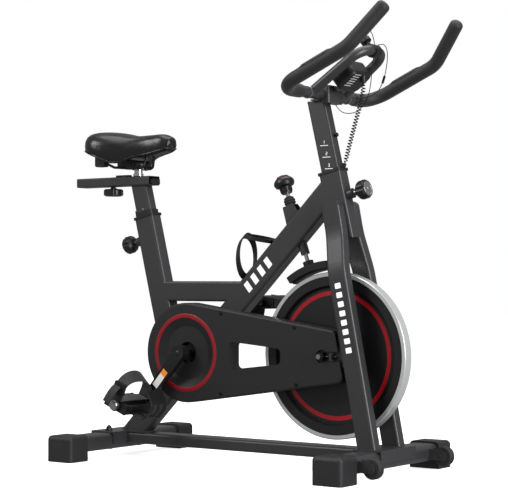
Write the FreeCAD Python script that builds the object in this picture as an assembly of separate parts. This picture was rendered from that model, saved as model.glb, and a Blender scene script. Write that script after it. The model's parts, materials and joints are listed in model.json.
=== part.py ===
"""Indoor exercise bike with a braked flywheel, built as separate pieces.

Millimetres.  +X points to the front of the bike, +Y to its left and +Z up.
The origin is on the floor, under the middle of the overall length and width.
Each piece is written to parts/NAME.step, where NAME is the piece's name.
"""
import FreeCAD
import Part
import math
import os

# ---------------------------------------------------------------- driving sizes
# Frame tubes: depth is in the side view, width is across the bike.
TUBE_DEPTH = 60.0
TUBE_WIDTH = 40.0
TUBE_WALL = 2.0
TUBE_CORNER = 7.0
POST_DEPTH = 50.0
POST_WIDTH = 30.0
POST_WALL = 2.0
POST_CORNER = 6.0
SLIDE_FIT = 0.3          # clearance all round a post in its plastic sleeve
RUN_FIT = 0.05           # radial clearance of a shaft that turns in a bore
GAP = 0.5                # air between moving faces that never touch
FLANGE = 6.0             # height of a post sleeve's flange

# Feet
FOOT_SPAN = 500.0        # across the floor, outside the end caps
REAR_FOOT_X = -383.0
FRONT_FOOT_X = 419.0
FOOT_DEPTH = 70.0
FOOT_LOW = 21.0
FOOT_HIGH = 62.0
CAP_DEPTH = 81.0
CAP_LENGTH = 66.0
CAP_HIGH = 66.0
CAP_END = 6.0            # thickness of a cap's closed end
PLATE = 4.0
BOLT_Y = 57.0
REAR_PLATE_HALF = 82.0
FRONT_PLATE_HALF = 78.0
BAR_LOW = 33.0
BAR_WIDTH = 60.0

# Wheel and drive
WHEEL_X = 285.0
WHEEL_Z = 277.0
WHEEL_R = 200.0
WHEEL_RIM = 28.0         # thickness of the rim across the bike
RIM_BAND = 38.0
WEB = 9.0
AXLE_R = 6.0
AXLE_HALF = 79.0
CRANK_X = -124.0
CRANK_Z = 275.0
CRANK_LENGTH = 170.0
CRANK_ANGLE = -131.35    # right crank, degrees from +X towards +Z
SHELL_R = 23.0
SPINDLE_R = 8.5
BIG_PULLEY_R = 96.0
SMALL_PULLEY_R = 28.0
BELT_THICK = 3.0
BELT_WIDTH = 14.0
BELT_Y = -37.0           # middle of the belt line

# Belt cover
COVER_R = 125.0
COVER_OUT = -65.0
COVER_IN = -23.0
COVER_WALL = 2.5
RED_RING_R = 98.0
RED_RING_WIDTH = 9.5

# Column, fork and seat tube: each leans back by this much per unit of height
COLUMN_LEAN = 0.24
COLUMN_X = 276.5         # at COLUMN_TOP
COLUMN_TOP = 713.0
COLUMN_BOTTOM = 559.0
SEAT_LEAN = 0.25
SEAT_X = -300.0          # at SEAT_TOP
SEAT_TOP = 619.0
FORK_LEAN = 0.2
FORK_FOOT_X = 411.0
FORK_DEPTH = 50.0
FORK_WIDTH = 30.0
FORK_OUT = 70.0          # outer faces of the legs
FORK_TOP = 646.0
MID_LOW = 403.0
MID_HIGH = 454.0
DOWN_RISE = 399.0        # the main tube's axis is z = x + DOWN_RISE

# Handlebar
BAR_R = 14.0
GRIP_R = 16.5
BAR_X = 259.0
BAR_Z = 902.0
BAR_HALF = 200.0
HORN_X = 444.0
HORN_Z = 981.0
HORN_HALF = 198.0
TIP_X = 520.5
TIP_Z = 1069.5
TIP_HALF = 167.5
LOOP_R = 12.0
LOOP_X = 391.0
LOOP_Z = 997.0
LOOP_HALF = 55.0
POST_TOP = 888.0
BLOCK_AHEAD = 26.0       # front of the bar clamp, ahead of the bar's axis
BLOCK_HALF = 32.0

# Saddle
RAIL_REAR = -528.0
RAIL_FRONT = -279.0
RAIL_LOW = 703.0
RAIL_HIGH = 727.0
RAIL_WIDTH = 45.0
SLIDER_WIDTH = 34.0
SLIDER_HIGH = 14.0
STEM_X = -332.0
STEM_R = 11.0
SADDLE_PIVOT_Z = 757.0
RAIL_ROD_R = 3.5
RAIL_ROD_Z = 749.0
BARREL_HALF = 14.0
CLAMP_BOLT_R = 4.0
TEE_X = -418.0           # the saddle rail's clamp knob
# Cushion sections: place, half width, top and lower edge
SADDLE_SECTIONS = ((-463.0, 52.0, 836.0, 794.0), (-450.0, 80.0, 845.0, 789.0),
                   (-418.0, 98.0, 848.0, 777.0), (-376.0, 89.0, 843.0, 765.0),
                   (-330.0, 60.0, 833.0, 768.0), (-284.0, 38.0, 834.0, 776.0),
                   (-240.0, 29.0, 834.0, 786.0), (-218.0, 17.0, 819.0, 797.0))
# Base plate sections: place, half width and underside
BASE_SECTIONS = ((-444.0, 40.0, 784.0), (-415.0, 50.0, 778.0), (-372.0, 46.0, 775.0),
                 (-330.0, 31.0, 775.0), (-284.0, 19.0, 778.0), (-230.0, 12.0, 789.0))
BUMPER_LOW = 753.0

# Knobs and brake
KNOB_R = 23.0
KNOB_Z = 654.0           # column's locking pin
KNOB_OUT = 28.0          # knob's back, out from the column's front
SEAT_KNOB_Z = 567.0
SEAT_KNOB_OUT = 28.0
PIN_R = 5.0
BRAKE_LEAN_DEG = 20.0    # the brake rod's axis leans back and meets the axle
BRAKE_KNOB_UP = 437.0    # knob's middle above the axle, along the rod
BRAKE_ROD_R = 5.0
SHOE_GAP = 5.7           # pad to rim at rest
SHOE_HALF_ANGLE = 15.5

# Pedals
PEDAL_IN = 104.0
PEDAL_OUT = 203.0
PEDAL_AXLE_R = 6.0
PEDAL_TURN = {"right": 22.0, "left": 186.0}    # nose down from level, degrees
STRAP_HALF = 12.5
STRAP_THICK = 2.4
STRAP_OVER = 15.3        # underside of the strap above the pedal's axle
CAGE_HALF = 30.0
CAGE_GAP_HALF = 21.0

# Belt cover outline, in the side view
COVER_TOP_FRONT = (321.0, 338.0)
COVER_LOW_FRONT = (346.0, 217.0)
WINDOW = ((11.0, 237.0), (167.0, 255.0), (167.0, 292.0), (11.0, 306.0))
COVER_SCREWS = ((-12.0, 374.0), (208.0, 343.5), (213.0, 206.5), (-12.0, 176.0))

# Bottle cage
BOTTLE_R = 35.0
CAGE_WALL = 3.0
CAGE_FOOT_Z = 430.0
CAGE_HOOP_AHEAD = 4.0    # upright hoop, ahead of the cage's foot
CAGE_DIP_DEG = 12.0

# Transport wheels
ROLLER_X = 488.0
ROLLER_Y = 161.0
ROLLER_Z = 36.0
ROLLER_R = 24.0
ROLLER_HALF = 9.5
ROLLER_PIN_R = 4.0

# Display and cords
CONSOLE_TILT = 38.0
SOCKET_R = 5.0
CURLY_R = 5.5
LEAD_R = 1.0
CURLY_TOP = (357.0, 8.0, 926.0)
CURLY_POINTS = ((358.0, 7.0, 911.0), (355.5, 5.0, 893.0), (350.5, 3.0, 870.0), (343.5, 0.0, 844.0),
                (334.0, -1.0, 812.0), (323.5, -1.0, 779.0), (315.0, -0.5, 751.0), (309.2, 0.0, 735.5))
LEFT_LEAD_POINTS = ((398.0, 8.0, 1012.0), (404.0, 24.0, 1018.0), (404.0, 42.0, 1002.0),
                    (392.0, 58.0, 970.0), (376.0, 70.0, 938.0), (356.0, 82.0, 915.0),
                    (330.0, 96.0, 906.0), (300.0, 106.0, 903.0), (273.2, 108.0, 902.0))
RIGHT_LEAD_POINTS = ((398.0, -8.0, 1012.0), (405.0, -24.0, 1028.0), (410.0, -48.0, 1040.0),
                     (420.0, -76.0, 1036.0), (436.0, -106.0, 1024.0), (452.0, -138.0, 1019.0),
                     (469.84, -169.79, 1017.0))
CONSOLE_LEAD_POINTS = ((277.0, 10.0, 879.0), (284.0, 13.0, 865.0), (304.0, 16.0, 855.0),
                       (336.0, 16.0, 858.0), (361.0, 14.0, 880.0), (374.0, 12.0, 912.0),
                       (380.0, 8.0, 946.0), (388.5, 2.0, 981.0))

V = FreeCAD.Vector
Y_AXIS = V(0, 1, 0)


# ---------------------------------------------------------------- shape helpers
def box(x0, x1, y0, y1, z0, z1):
    return Part.makeBox(x1 - x0, y1 - y0, z1 - z0, V(x0, y0, z0))


def rod(start, end, radius):
    way = end - start
    return Part.makeCylinder(radius, way.Length, start, way)


def ring(start, end, outer, inner):
    return rod(start, end, outer).cut(rod(start, end, inner))


def cross_rod(x, z, y0, y1, radius):
    return rod(V(x, y0, z), V(x, y1, z), radius)


def cross_ring(x, z, y0, y1, outer, inner):
    return ring(V(x, y0, z), V(x, y1, z), outer, inner)


def rounded(half_u, half_v, corner):
    """Points and arcs of a rounded rectangle, as (u, v) pairs."""
    k = corner * (1 - math.sqrt(0.5))
    u, v, c = half_u, half_v, corner
    return [((u - c, v), (u - k, v - k), (u, v - c)),
            ((u, c - v), (u - k, k - v), (u - c, -v)),
            ((c - u, -v), (k - u, k - v), (-u, c - v)),
            ((-u, v - c), (k - u, v - k), (c - u, v))]


def section(centre, u_way, v_way, half_u, half_v, corner):
    """A rounded rectangle as a closed wire about a centre."""
    def at(pair):
        return centre + u_way * pair[0] + v_way * pair[1]
    edges = []
    arcs = rounded(half_u, half_v, corner)
    for i, (a, m, b) in enumerate(arcs):
        edges.append(Part.Arc(at(a), at(m), at(b)).toShape())
        nxt = at(arcs[(i + 1) % 4][0])
        if (nxt - at(b)).Length > 1e-6:
            edges.append(Part.LineSegment(at(b), nxt).toShape())
    return Part.Wire(edges)


def bar(start, end, depth, width, corner):
    """A solid bar between two points of the side view (depth in that view)."""
    way = end - start
    u_way = way.cross(Y_AXIS)
    u_way.normalize()
    wire = section(start, u_way, Y_AXIS, depth / 2, width / 2, corner)
    return Part.Face(wire).extrude(way)


def tube(start, end, depth, width, wall, corner):
    inner = bar(start, end, depth - 2 * wall, width - 2 * wall, corner - wall)
    return bar(start, end, depth, width, corner).cut(inner)


def fillet_path(points, radii):
    """Straight runs joined by tangent arcs.  radii has one value per corner."""
    edges = []
    last = points[0]
    for i in range(1, len(points) - 1):
        a = points[i - 1] - points[i]
        b = points[i + 1] - points[i]
        a.normalize()
        b.normalize()
        half = a.getAngle(b) / 2
        radius = radii[i - 1]
        back = radius / math.tan(half)
        into = points[i] + a * back
        out = points[i] + b * back
        middle_way = a + b
        middle_way.normalize()
        centre = points[i] + middle_way * (radius / math.sin(half))
        if (into - last).Length > 1e-6:
            edges.append(Part.LineSegment(last, into).toShape())
        edges.append(Part.Arc(into, centre - middle_way * radius, out).toShape())
        last = out
    edges.append(Part.LineSegment(last, points[-1]).toShape())
    return Part.Wire(edges)


def pipe(points, radii, radius):
    """A round bar along straight runs and arcs."""
    path = fillet_path(points, radii)
    circle = Part.makeCircle(radius, points[0], points[1] - points[0])
    return path.makePipeShell([Part.Wire(circle)], True, True)


def lean_axis(x_ref, z_ref, lean, z):
    """The point at height z of an axis that leans back with height."""
    return V(x_ref - lean * (z - z_ref), 0, z)


def prism(pairs, y0, y1):
    """A flat outline of (x, z) pairs, made solid between two sides."""
    points = [V(x, y0, z) for x, z in pairs]
    points.append(points[0])
    return Part.Face(Part.makePolygon(points)).extrude(V(0, y1 - y0, 0))


def turned(pairs, centre, way):
    """A closed outline of (radius, along) pairs turned about an axis."""
    way = V(way)
    way.normalize()
    side = way.cross(Y_AXIS)
    if side.Length < 0.1:
        side = V(1, 0, 0)
    side.normalize()
    points = [centre + side * r + way * a for r, a in pairs]
    points.append(points[0])
    return Part.Face(Part.makePolygon(points)).revolve(centre, way, 360)


def fused(shapes):
    whole = shapes[0].multiFuse(shapes[1:])
    return whole.removeSplitter()


def hexagon(centre, way, across, height):
    way = V(way)
    way.normalize()
    side = way.cross(Y_AXIS)
    if side.Length < 0.1:
        side = V(1, 0, 0)
    side.normalize()
    up = way.cross(side)
    reach = across / math.sqrt(3)
    points = []
    for i in range(7):
        turn = math.radians(60 * i)
        points.append(centre + side * (reach * math.cos(turn)) + up * (reach * math.sin(turn)))
    return Part.Face(Part.makePolygon(points)).extrude(way * height)


pieces = {}


def keep(name, *shapes):
    """Store the solids of one named piece."""
    solids = []
    for shape in shapes:
        solids.extend(shape.Solids)
    pieces[name] = Part.makeCompound(solids) if len(solids) > 1 else solids[0]


# ---------------------------------------------------------------- shared places
column_top = lean_axis(COLUMN_X, COLUMN_TOP, COLUMN_LEAN, COLUMN_TOP)
column_way = V(-COLUMN_LEAN, 0, 1)
column_way.normalize()
column_front = V(column_way.z, 0, -column_way.x)
seat_top = lean_axis(SEAT_X, SEAT_TOP, SEAT_LEAN, SEAT_TOP)
seat_way = V(-SEAT_LEAN, 0, 1)
seat_way.normalize()
seat_rear = V(-seat_way.z, 0, seat_way.x)
fork_way = V(-FORK_LEAN, 0, 1)
fork_way.normalize()
down_way = V(1, 0, 1)
down_way.normalize()
down_up = V(-down_way.z, 0, down_way.x)
wheel = V(WHEEL_X, 0, WHEEL_Z)
crank = V(CRANK_X, 0, CRANK_Z)
brake_way = V(-math.sin(math.radians(BRAKE_LEAN_DEG)), 0, math.cos(math.radians(BRAKE_LEAN_DEG)))
brake_side = V(brake_way.z, 0, -brake_way.x)
PLATE_TOP = FOOT_HIGH + PLATE
FORK_MID = FORK_OUT - FORK_WIDTH / 2


def column_at(z):
    return lean_axis(COLUMN_X, COLUMN_TOP, COLUMN_LEAN, z)


def seat_at(z):
    return lean_axis(SEAT_X, SEAT_TOP, SEAT_LEAN, z)


def fork_at(z):
    return lean_axis(FORK_FOOT_X, FOOT_HIGH, FORK_LEAN, z)


def down_at(z):
    return V(z - DOWN_RISE, 0, z)


def brake_at(up, across=0.0, y=0.0):
    """A point by its distance from the axle along and across the brake rod."""
    return wheel + brake_way * up + brake_side * across + V(0, y, 0)


# ---------------------------------------------------------------- frame
def frame_tubes():
    column_solid = bar(column_at(COLUMN_BOTTOM - 60), column_top, TUBE_DEPTH, TUBE_WIDTH, TUBE_CORNER)
    floor_cut = box(-900, 900, -300, 300, -400, COLUMN_BOTTOM)
    column = tube(column_at(COLUMN_BOTTOM - 60), column_top, TUBE_DEPTH, TUBE_WIDTH, TUBE_WALL,
                  TUBE_CORNER).cut(floor_cut)
    main_start = down_at(PLATE_TOP - 60)
    main_end = down_at(COLUMN_TOP)
    main_solid = bar(main_start, main_end, TUBE_DEPTH, TUBE_WIDTH, TUBE_CORNER)
    shell_hole = cross_rod(CRANK_X, CRANK_Z, -FOOT_SPAN, FOOT_SPAN, SHELL_R)
    main = tube(main_start, main_end, TUBE_DEPTH, TUBE_WIDTH, TUBE_WALL, TUBE_CORNER)
    main = main.cut(box(-900, 900, -300, 300, -400, PLATE_TOP)).cut(column_solid)
    main = main.cut(prism([(column_at(900).x, 900), (column_at(400).x, 400), (900, 400), (900, 900)],
                          -300, 300))
    main = main.cut(shell_hole).cut(brake_hole())
    seat_solid = bar(seat_at(CRANK_Z - 120), seat_top, TUBE_DEPTH, TUBE_WIDTH, TUBE_CORNER)
    seat = tube(seat_at(CRANK_Z - 120), seat_top, TUBE_DEPTH, TUBE_WIDTH, TUBE_WALL, TUBE_CORNER)
    below = bar(down_at(-200), down_at(900), TUBE_DEPTH, 200, 1.0).fuse(
        prism([(-900, -500), (900, -500), (900, 900 + DOWN_RISE), (501, 900)], -200, 200))
    seat = largest(seat.cut(below))
    middle_z = (MID_LOW + MID_HIGH) / 2
    mid = tube(V(seat_at(middle_z).x, 0, middle_z), V(down_at(middle_z).x, 0, middle_z),
               MID_HIGH - MID_LOW, TUBE_WIDTH, TUBE_WALL, POST_CORNER)
    mid = largest(mid.cut(seat_solid).cut(main_solid))
    column = pin_bore(column, KNOB_Z, column_at, column_front)
    seat = pin_bore(seat, SEAT_KNOB_Z, seat_at, seat_rear)
    keep("column", column)
    keep("main_tube", largest(main))
    keep("seat_tube", seat)
    keep("mid_tube", mid)


def largest(shape):
    """The biggest solid of a cut, when off-cuts remain."""
    return max(shape.Solids, key=lambda s: s.Volume)


def pin_bore(shape, z, axis_at, way):
    """The hole for a locking pin, through one wall of an upright tube."""
    return shape.cut(rod(axis_at(z) + way * (TUBE_DEPTH / 4), axis_at(z) + way * 90, PIN_R + RUN_FIT))


def brake_hole():
    return rod(brake_at(200), brake_at(430), BRAKE_ROD_R + GAP)


def fork_leg(side):
    """One fork leg: straight up from the foot, then in to the column's side."""
    def at(z, y):
        point = fork_at(z)
        return V(point.x, side * y, z)
    near = TUBE_WIDTH / 2 + FORK_WIDTH / 2
    path = [at(FOOT_LOW, FORK_MID), at(478, FORK_MID), at(566, near), at(FORK_TOP + 20, near)]
    wire = fillet_path(path, [170.0, 170.0])
    front = V(fork_way.z, 0, -fork_way.x)
    solids = []
    for shrink in (0.0, TUBE_WALL):
        outline = section(path[0], front, Y_AXIS, FORK_DEPTH / 2 - shrink,
                          FORK_WIDTH / 2 - shrink, TUBE_CORNER - shrink)
        solids.append(wire.makePipeShell([outline], True, False))
    outer, inner = solids
    top = fork_at(FORK_TOP - FORK_DEPTH / 2)
    tall = bar(fork_at(-50), top, FORK_DEPTH + 2, 400, 1.0)
    dome = cross_rod(top.x, top.z, -200, 200, FORK_DEPTH / 2 + 1)
    dome_in = cross_rod(top.x, top.z, -200, 200, FORK_DEPTH / 2 - 2)
    outer = outer.common(tall.fuse(dome))
    inner = inner.common(bar(fork_at(-50), top, FORK_DEPTH, 400, 1.0).fuse(dome_in))
    leg = outer.cut(inner).cut(box(-900, 900, -300, 300, -400, PLATE_TOP))
    return largest(leg)


def feet():
    beams = []
    caps = []
    for x in (REAR_FOOT_X, FRONT_FOOT_X):
        z = (FOOT_LOW + FOOT_HIGH) / 2
        half = FOOT_SPAN / 2 - CAP_END
        outline = section(V(x, -half, z), V(1, 0, 0), V(0, 0, 1), FOOT_DEPTH / 2,
                          (FOOT_HIGH - FOOT_LOW) / 2, 14.0)
        inside = section(V(x, -half, z), V(1, 0, 0), V(0, 0, 1), FOOT_DEPTH / 2 - TUBE_WALL,
                         (FOOT_HIGH - FOOT_LOW) / 2 - TUBE_WALL, 12.0)
        beam = Part.Face(outline).extrude(V(0, 2 * half, 0))
        hollow = Part.Face(inside).extrude(V(0, 2 * half, 0))
        bolts = [rod(V(x, s * BOLT_Y, 0), V(x, s * BOLT_Y, 90), 4.5) for s in (-1, 1)]
        beams.append(beam.cut(hollow).cut(bolts[0]).cut(bolts[1]))
        for side in (-1, 1):
            caps.append(foot_cap(x, side, beam))
    keep("stabilisers", *beams)
    keep("foot_caps", *caps)


def foot_cap(x, side, beam):
    y0 = side * (FOOT_SPAN / 2 - CAP_LENGTH)
    y1 = side * FOOT_SPAN / 2
    cap = box(x - CAP_DEPTH / 2, x + CAP_DEPTH / 2, min(y0, y1), max(y0, y1), 0, CAP_HIGH)
    soft = [e for e in cap.Edges if on_edge(e, CAP_HIGH, y1)]
    cap = cap.makeFillet(11.0, soft)
    feet_pad = [e for e in cap.Edges if abs(e.BoundBox.ZMax) < 0.01]
    cap = cap.makeChamfer(1.5, feet_pad)
    return cap.cut(beam)


def on_edge(edge, top, end):
    """True for the long top edges and for the outer end's upper edges."""
    b = edge.BoundBox
    high = abs(b.ZMin - top) < 0.01
    outer = abs(b.YMin - end) < 0.01 and abs(b.YMax - end) < 0.01
    lengthways = high and b.YLength > 1
    return lengthways or (outer and b.ZMax > top - 0.01)


def base_plates():
    plates = []
    for x, half in ((REAR_FOOT_X, REAR_PLATE_HALF), (FRONT_FOOT_X, FRONT_PLATE_HALF)):
        rear = x < 0
        low_x = x - FOOT_DEPTH / 2 - PLATE
        high_x = x + FOOT_DEPTH / 2 + PLATE
        inner_end = down_at(PLATE_TOP).x + 46 if rear else low_x
        saddle = box(low_x, high_x, -half, half, 36.0, PLATE_TOP)
        if rear:
            saddle = saddle.fuse(box(high_x - 1, inner_end, -BAR_WIDTH / 2, BAR_WIDTH / 2,
                                     FOOT_HIGH, PLATE_TOP))
        saddle = saddle.cut(box(x - FOOT_DEPTH / 2, x + FOOT_DEPTH / 2, -half, half, 0, FOOT_HIGH))
        inner = high_x if rear else low_x
        saddle = saddle.cut(box(inner - PLATE, inner + PLATE, -BAR_WIDTH / 2, BAR_WIDTH / 2,
                                0, FOOT_HIGH))
        for side in (-1, 1):
            saddle = saddle.cut(rod(V(x, side * BOLT_Y, 0), V(x, side * BOLT_Y, 90), 4.5))
        plates.append(largest(saddle))
    return plates


def bottom_bar():
    z = (BAR_LOW + FOOT_HIGH) / 2
    start = V(REAR_FOOT_X + FOOT_DEPTH / 2, 0, z)
    end = V(FRONT_FOOT_X - FOOT_DEPTH / 2, 0, z)
    keep("bottom_bar", tube(start, end, FOOT_HIGH - BAR_LOW, BAR_WIDTH, TUBE_WALL, TUBE_CORNER))


def stabiliser_bolts():
    """Carriage bolts up through the feet and plates, each with a domed nut."""
    bolts = []
    for x in (REAR_FOOT_X, FRONT_FOOT_X):
        for side in (-1, 1):
            foot = V(x, side * BOLT_Y, FOOT_LOW - 3)
            top = V(x, side * BOLT_Y, PLATE_TOP)
            shank = rod(foot, top + V(0, 0, 1), 4.0)
            head = rod(foot, foot + V(0, 0, 3), 9.0)
            washer = rod(top, top + V(0, 0, 2), 10.0)
            nut = hexagon(top + V(0, 0, 2), V(0, 0, 1), 13.0, 7.0)
            dome = Part.makeSphere(6.0, top + V(0, 0, 8))
            bolts.append(largest(fused([shank, head, washer, nut, dome])))
    return bolts


def axle_parts():
    """Dropout plates, the fixed wheel axle, its nuts and the belt tensioners."""
    plates = []
    leg_rear = fork_at(WHEEL_Z).x - FORK_DEPTH / 2 / fork_way.z
    for side in (-1, 1):
        y0 = side * 52.0
        y1 = side * 57.0
        plate = box(WHEEL_X - 20, leg_rear + 12, min(y0, y1), max(y0, y1), WHEEL_Z - 24, WHEEL_Z + 24)
        leg = bar(fork_at(100), fork_at(500), FORK_DEPTH, 300, 1.0)
        plate = largest(plate.cut(leg))
        plate = plate.cut(cross_rod(WHEEL_X, WHEEL_Z, -100, 100, AXLE_R))
        ear = box(WHEEL_X + 27, WHEEL_X + 31, min(side * 57, side * 72), max(side * 57, side * 72),
                  WHEEL_Z - 9, WHEEL_Z + 9)
        bolt_hole = rod(V(WHEEL_X, side * 64.5, WHEEL_Z), V(WHEEL_X + 50, side * 64.5, WHEEL_Z), 3.0)
        plates.append(plate.fuse(ear.cut(bolt_hole)).removeSplitter())
    keep("frame_plates", *(plates + base_plates()))
    steps = cross_rod(WHEEL_X, WHEEL_Z, -AXLE_HALF, AXLE_HALF, AXLE_R)
    right_spacer = cross_rod(WHEEL_X, WHEEL_Z, -52, -46, 8.0)
    left_spacer = cross_rod(WHEEL_X, WHEEL_Z, 26, 52, 8.0)
    keep("flywheel_axle", fused([steps, right_spacer, left_spacer]))
    nuts = []
    for side in (-1, 1):
        start = V(WHEEL_X, side * 57, WHEEL_Z)
        nut = hexagon(start, V(0, side, 0), 19.0, 14.0).fuse(
            cross_rod(WHEEL_X, WHEEL_Z, min(side * 57, side * 60), max(side * 57, side * 60), 13.0))
        nut = nut.cut(cross_rod(WHEEL_X, WHEEL_Z, -100, 100, AXLE_R)).removeSplitter()
        screw = rod(V(WHEEL_X + 14, side * 64.5, WHEEL_Z), V(WHEEL_X + 44, side * 64.5, WHEEL_Z), 3.0)
        head = hexagon(V(WHEEL_X + 31, side * 64.5, WHEEL_Z), V(1, 0, 0), 10.0, 6.0)
        nuts.extend([nut, screw.fuse(head).removeSplitter()])
    keep("nuts_and_bolts", *(nuts + stabiliser_bolts()))


def drive_parts():
    shell = cross_ring(CRANK_X, CRANK_Z, -25.5, 34, SHELL_R, 17.5)
    keep("bottom_bracket_shell", shell)
    bearings = []
    for y0 in (-25.5, 22.0):
        bearings.append(cross_ring(CRANK_X, CRANK_Z, y0, y0 + 12, 17.5, SPINDLE_R + RUN_FIT))
    for y0 in (-46.0, 18.0):
        bearings.append(cross_ring(WHEEL_X, WHEEL_Z, y0, y0 + 8, 14.0, AXLE_R))
    keep("ball_bearings", *bearings)
    right = cross_rod(CRANK_X, CRANK_Z, -96, 96, SPINDLE_R)
    flange = cross_ring(CRANK_X, CRANK_Z, BELT_Y - 8, -26, 20.0, SPINDLE_R)
    spindles = [right.fuse(flange).removeSplitter()]
    reach = crank_reach()
    for side, tip in ((-1, crank + reach), (1, crank - reach)):
        pin = rod(V(tip.x, side * 79, tip.z), V(tip.x, side * 205, tip.z), PEDAL_AXLE_R)
        collar = rod(V(tip.x, side * 94, tip.z), V(tip.x, side * 102, tip.z), 9.0)
        spindles.append(pin.fuse(collar).removeSplitter())
    keep("crank_spindles", *spindles)
    half = BELT_WIDTH / 2
    rim = cross_ring(CRANK_X, CRANK_Z, BELT_Y - half - 2, BELT_Y + half + 2, BIG_PULLEY_R,
                     BIG_PULLEY_R - 6)
    web = cross_ring(CRANK_X, CRANK_Z, BELT_Y - 2, BELT_Y + 2, BIG_PULLEY_R - 6, 20.0)
    for i in range(5):
        turn = math.radians(72 * i + 20)
        web = web.cut(cross_rod(CRANK_X + 56 * math.cos(turn), CRANK_Z + 56 * math.sin(turn),
                                -100, 0, 21.0))
    keep("crank_pulley", fused([rim, web]))
    lip = cross_ring(WHEEL_X, WHEEL_Z, BELT_Y - half - 2, BELT_Y + half + 2, SMALL_PULLEY_R, 18.0)
    keep("flywheel_pulley", lip)
    belt()


def belt():
    """The closed belt: two straight runs and two arcs about the pulleys."""
    clear = 0.3
    loops = []
    for extra in (clear, clear + BELT_THICK):
        loops.append(belt_outline(BIG_PULLEY_R + extra, SMALL_PULLEY_R + extra))
    outer, inner = loops[1], loops[0]
    face = Part.Face(outer)
    hole = Part.Face(inner)
    y0 = BELT_Y - BELT_WIDTH / 2
    solid = face.extrude(V(0, BELT_WIDTH, 0)).cut(hole.extrude(V(0, BELT_WIDTH, 0)))
    solid.translate(V(0, y0, 0))
    keep("drive_belt", solid)


def belt_outline(big, small):
    way = wheel - crank
    span = way.Length
    lean = math.atan2(way.z, way.x)
    swing = math.acos((big - small) / span)

    def on(centre, radius, angle):
        return V(centre.x + radius * math.cos(angle), 0, centre.z + radius * math.sin(angle))
    up, low = lean + swing, lean - swing
    a, b = on(crank, big, up), on(wheel, small, up)
    c, d = on(wheel, small, low), on(crank, big, low)
    front = Part.Arc(b, on(wheel, small, lean), c).toShape()
    rear = Part.Arc(d, on(crank, big, lean + math.pi), a).toShape()
    top = Part.LineSegment(a, b).toShape()
    base = Part.LineSegment(c, d).toShape()
    return Part.Wire([top, front, base, rear])


def flywheel():
    half = WHEEL_RIM / 2
    rim_in = WHEEL_R - RIM_BAND
    edge = 2.0
    outline = [(22, -WEB / 2), (rim_in, -WEB / 2), (rim_in + 6, 1.5 - half), (WHEEL_R - 11, 1.5 - half),
               (WHEEL_R - 10, -half), (WHEEL_R - edge, -half), (WHEEL_R, edge - half),
               (WHEEL_R, half - edge), (WHEEL_R - edge, half), (WHEEL_R - 10, half),
               (WHEEL_R - 11, half - 1.5), (rim_in + 6, half - 1.5), (rim_in, WEB / 2), (22, WEB / 2),
               (22, 26), (14 + RUN_FIT, 26), (14 + RUN_FIT, 18), (9, 18), (9, -38),
               (14 + RUN_FIT, -38), (14 + RUN_FIT, -46), (18, -46), (18, BELT_Y + 9.5),
               (22, BELT_Y + 9.5)]
    keep("flywheel", turned(outline, wheel, Y_AXIS))


def crank_parts():
    reach = crank_reach()
    for name, side, tip in (("right", -1, crank + reach), ("left", 1, crank - reach)):
        keep("crank_" + name, crank_arm(side, tip))
        pedal(name, side, tip, PEDAL_TURN[name])


def crank_reach():
    turn = math.radians(CRANK_ANGLE)
    return V(math.cos(turn), 0, math.sin(turn)) * CRANK_LENGTH


def crank_arm(side, tip):
    """A forged arm: a boss at the spindle, a tapered bar and a pedal eye."""
    y_in = side * 79
    y_out = side * 94

    def slab(x, z, radius, a=y_in, b=y_out):
        return cross_rod(x, z, min(a, b), max(a, b), radius)
    way = tip - crank
    way.normalize()
    across = V(-way.z, 0, way.x)
    root = crank + way * 6
    pairs = []
    for point, half in ((root, 17.0), (tip, 12.0)):
        pairs.append((point + across * half, point - across * half))
    outline = [pairs[0][0], pairs[1][0], pairs[1][1], pairs[0][1]]
    arm = prism([(p.x, p.z) for p in outline], min(y_in, y_out), max(y_in, y_out))
    whole = fused([arm, slab(tip.x, tip.z, 14.0), slab(crank.x, crank.z, 19.0, side * 72, side * 98)])
    whole = whole.cut(cross_rod(crank.x, crank.z, -96, 96, SPINDLE_R))
    return whole.cut(cross_rod(tip.x, tip.z, -200, 200, 6.0))


def pedal(name, side, axle, turn):
    """A resin pedal block with two end plates, a toe cage and a strap."""
    def lot(x0, x1, y0, y1, z0, z1):
        ya, yb = sorted((side * y0, side * y1))
        return box(axle.x + x0, axle.x + x1, ya, yb, axle.z + z0, axle.z + z1)
    inner = lot(-34, 34, PEDAL_IN + 1, PEDAL_IN + 8, -13, 13)
    outer = lot(-36, 34, PEDAL_OUT - 9, PEDAL_OUT - 2, -13, 13)
    front = lot(27, 36, PEDAL_IN + 8, PEDAL_OUT - 9, -11, 11)
    rear = lot(-36, -28, PEDAL_IN + 8, PEDAL_OUT - 9, -11, 11)
    ya, yb = sorted((side * (PEDAL_IN + 1), side * (PEDAL_OUT - 2)))
    barrel = cross_rod(axle.x, axle.z, ya, yb, 15.0)
    ridge = [lot(x, x + 6, PEDAL_IN + 8, PEDAL_OUT - 9, -9, 9) for x in (14.5, -20.5)]
    web = lot(-31, 27, 150, 157, -8, 8)
    body = fused([inner, outer, front, rear, barrel, web] + ridge)
    cap = turned([(0, 0), (15, 0), (15, 5), (12, 9.5), (0, 10.5)],
                 V(axle.x, side * (PEDAL_OUT - 2), axle.z), V(0, side, 0))
    ya, yb = sorted((side * 90, side * 205.2))
    bore = cross_rod(axle.x, axle.z, ya, yb, PEDAL_AXLE_R + RUN_FIT)
    middle = side * (PEDAL_IN + PEDAL_OUT) / 2
    for node, shapes in (("pedal_", [body.cut(bore), cap.cut(bore)]),
                         ("toe_cage_", [toe_cage(axle, middle)]),
                         ("toe_strap_", [toe_strap(axle, middle)])):
        for shape in shapes:
            shape.rotate(axle, Y_AXIS, turn)
        keep(node + name, *shapes)


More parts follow.
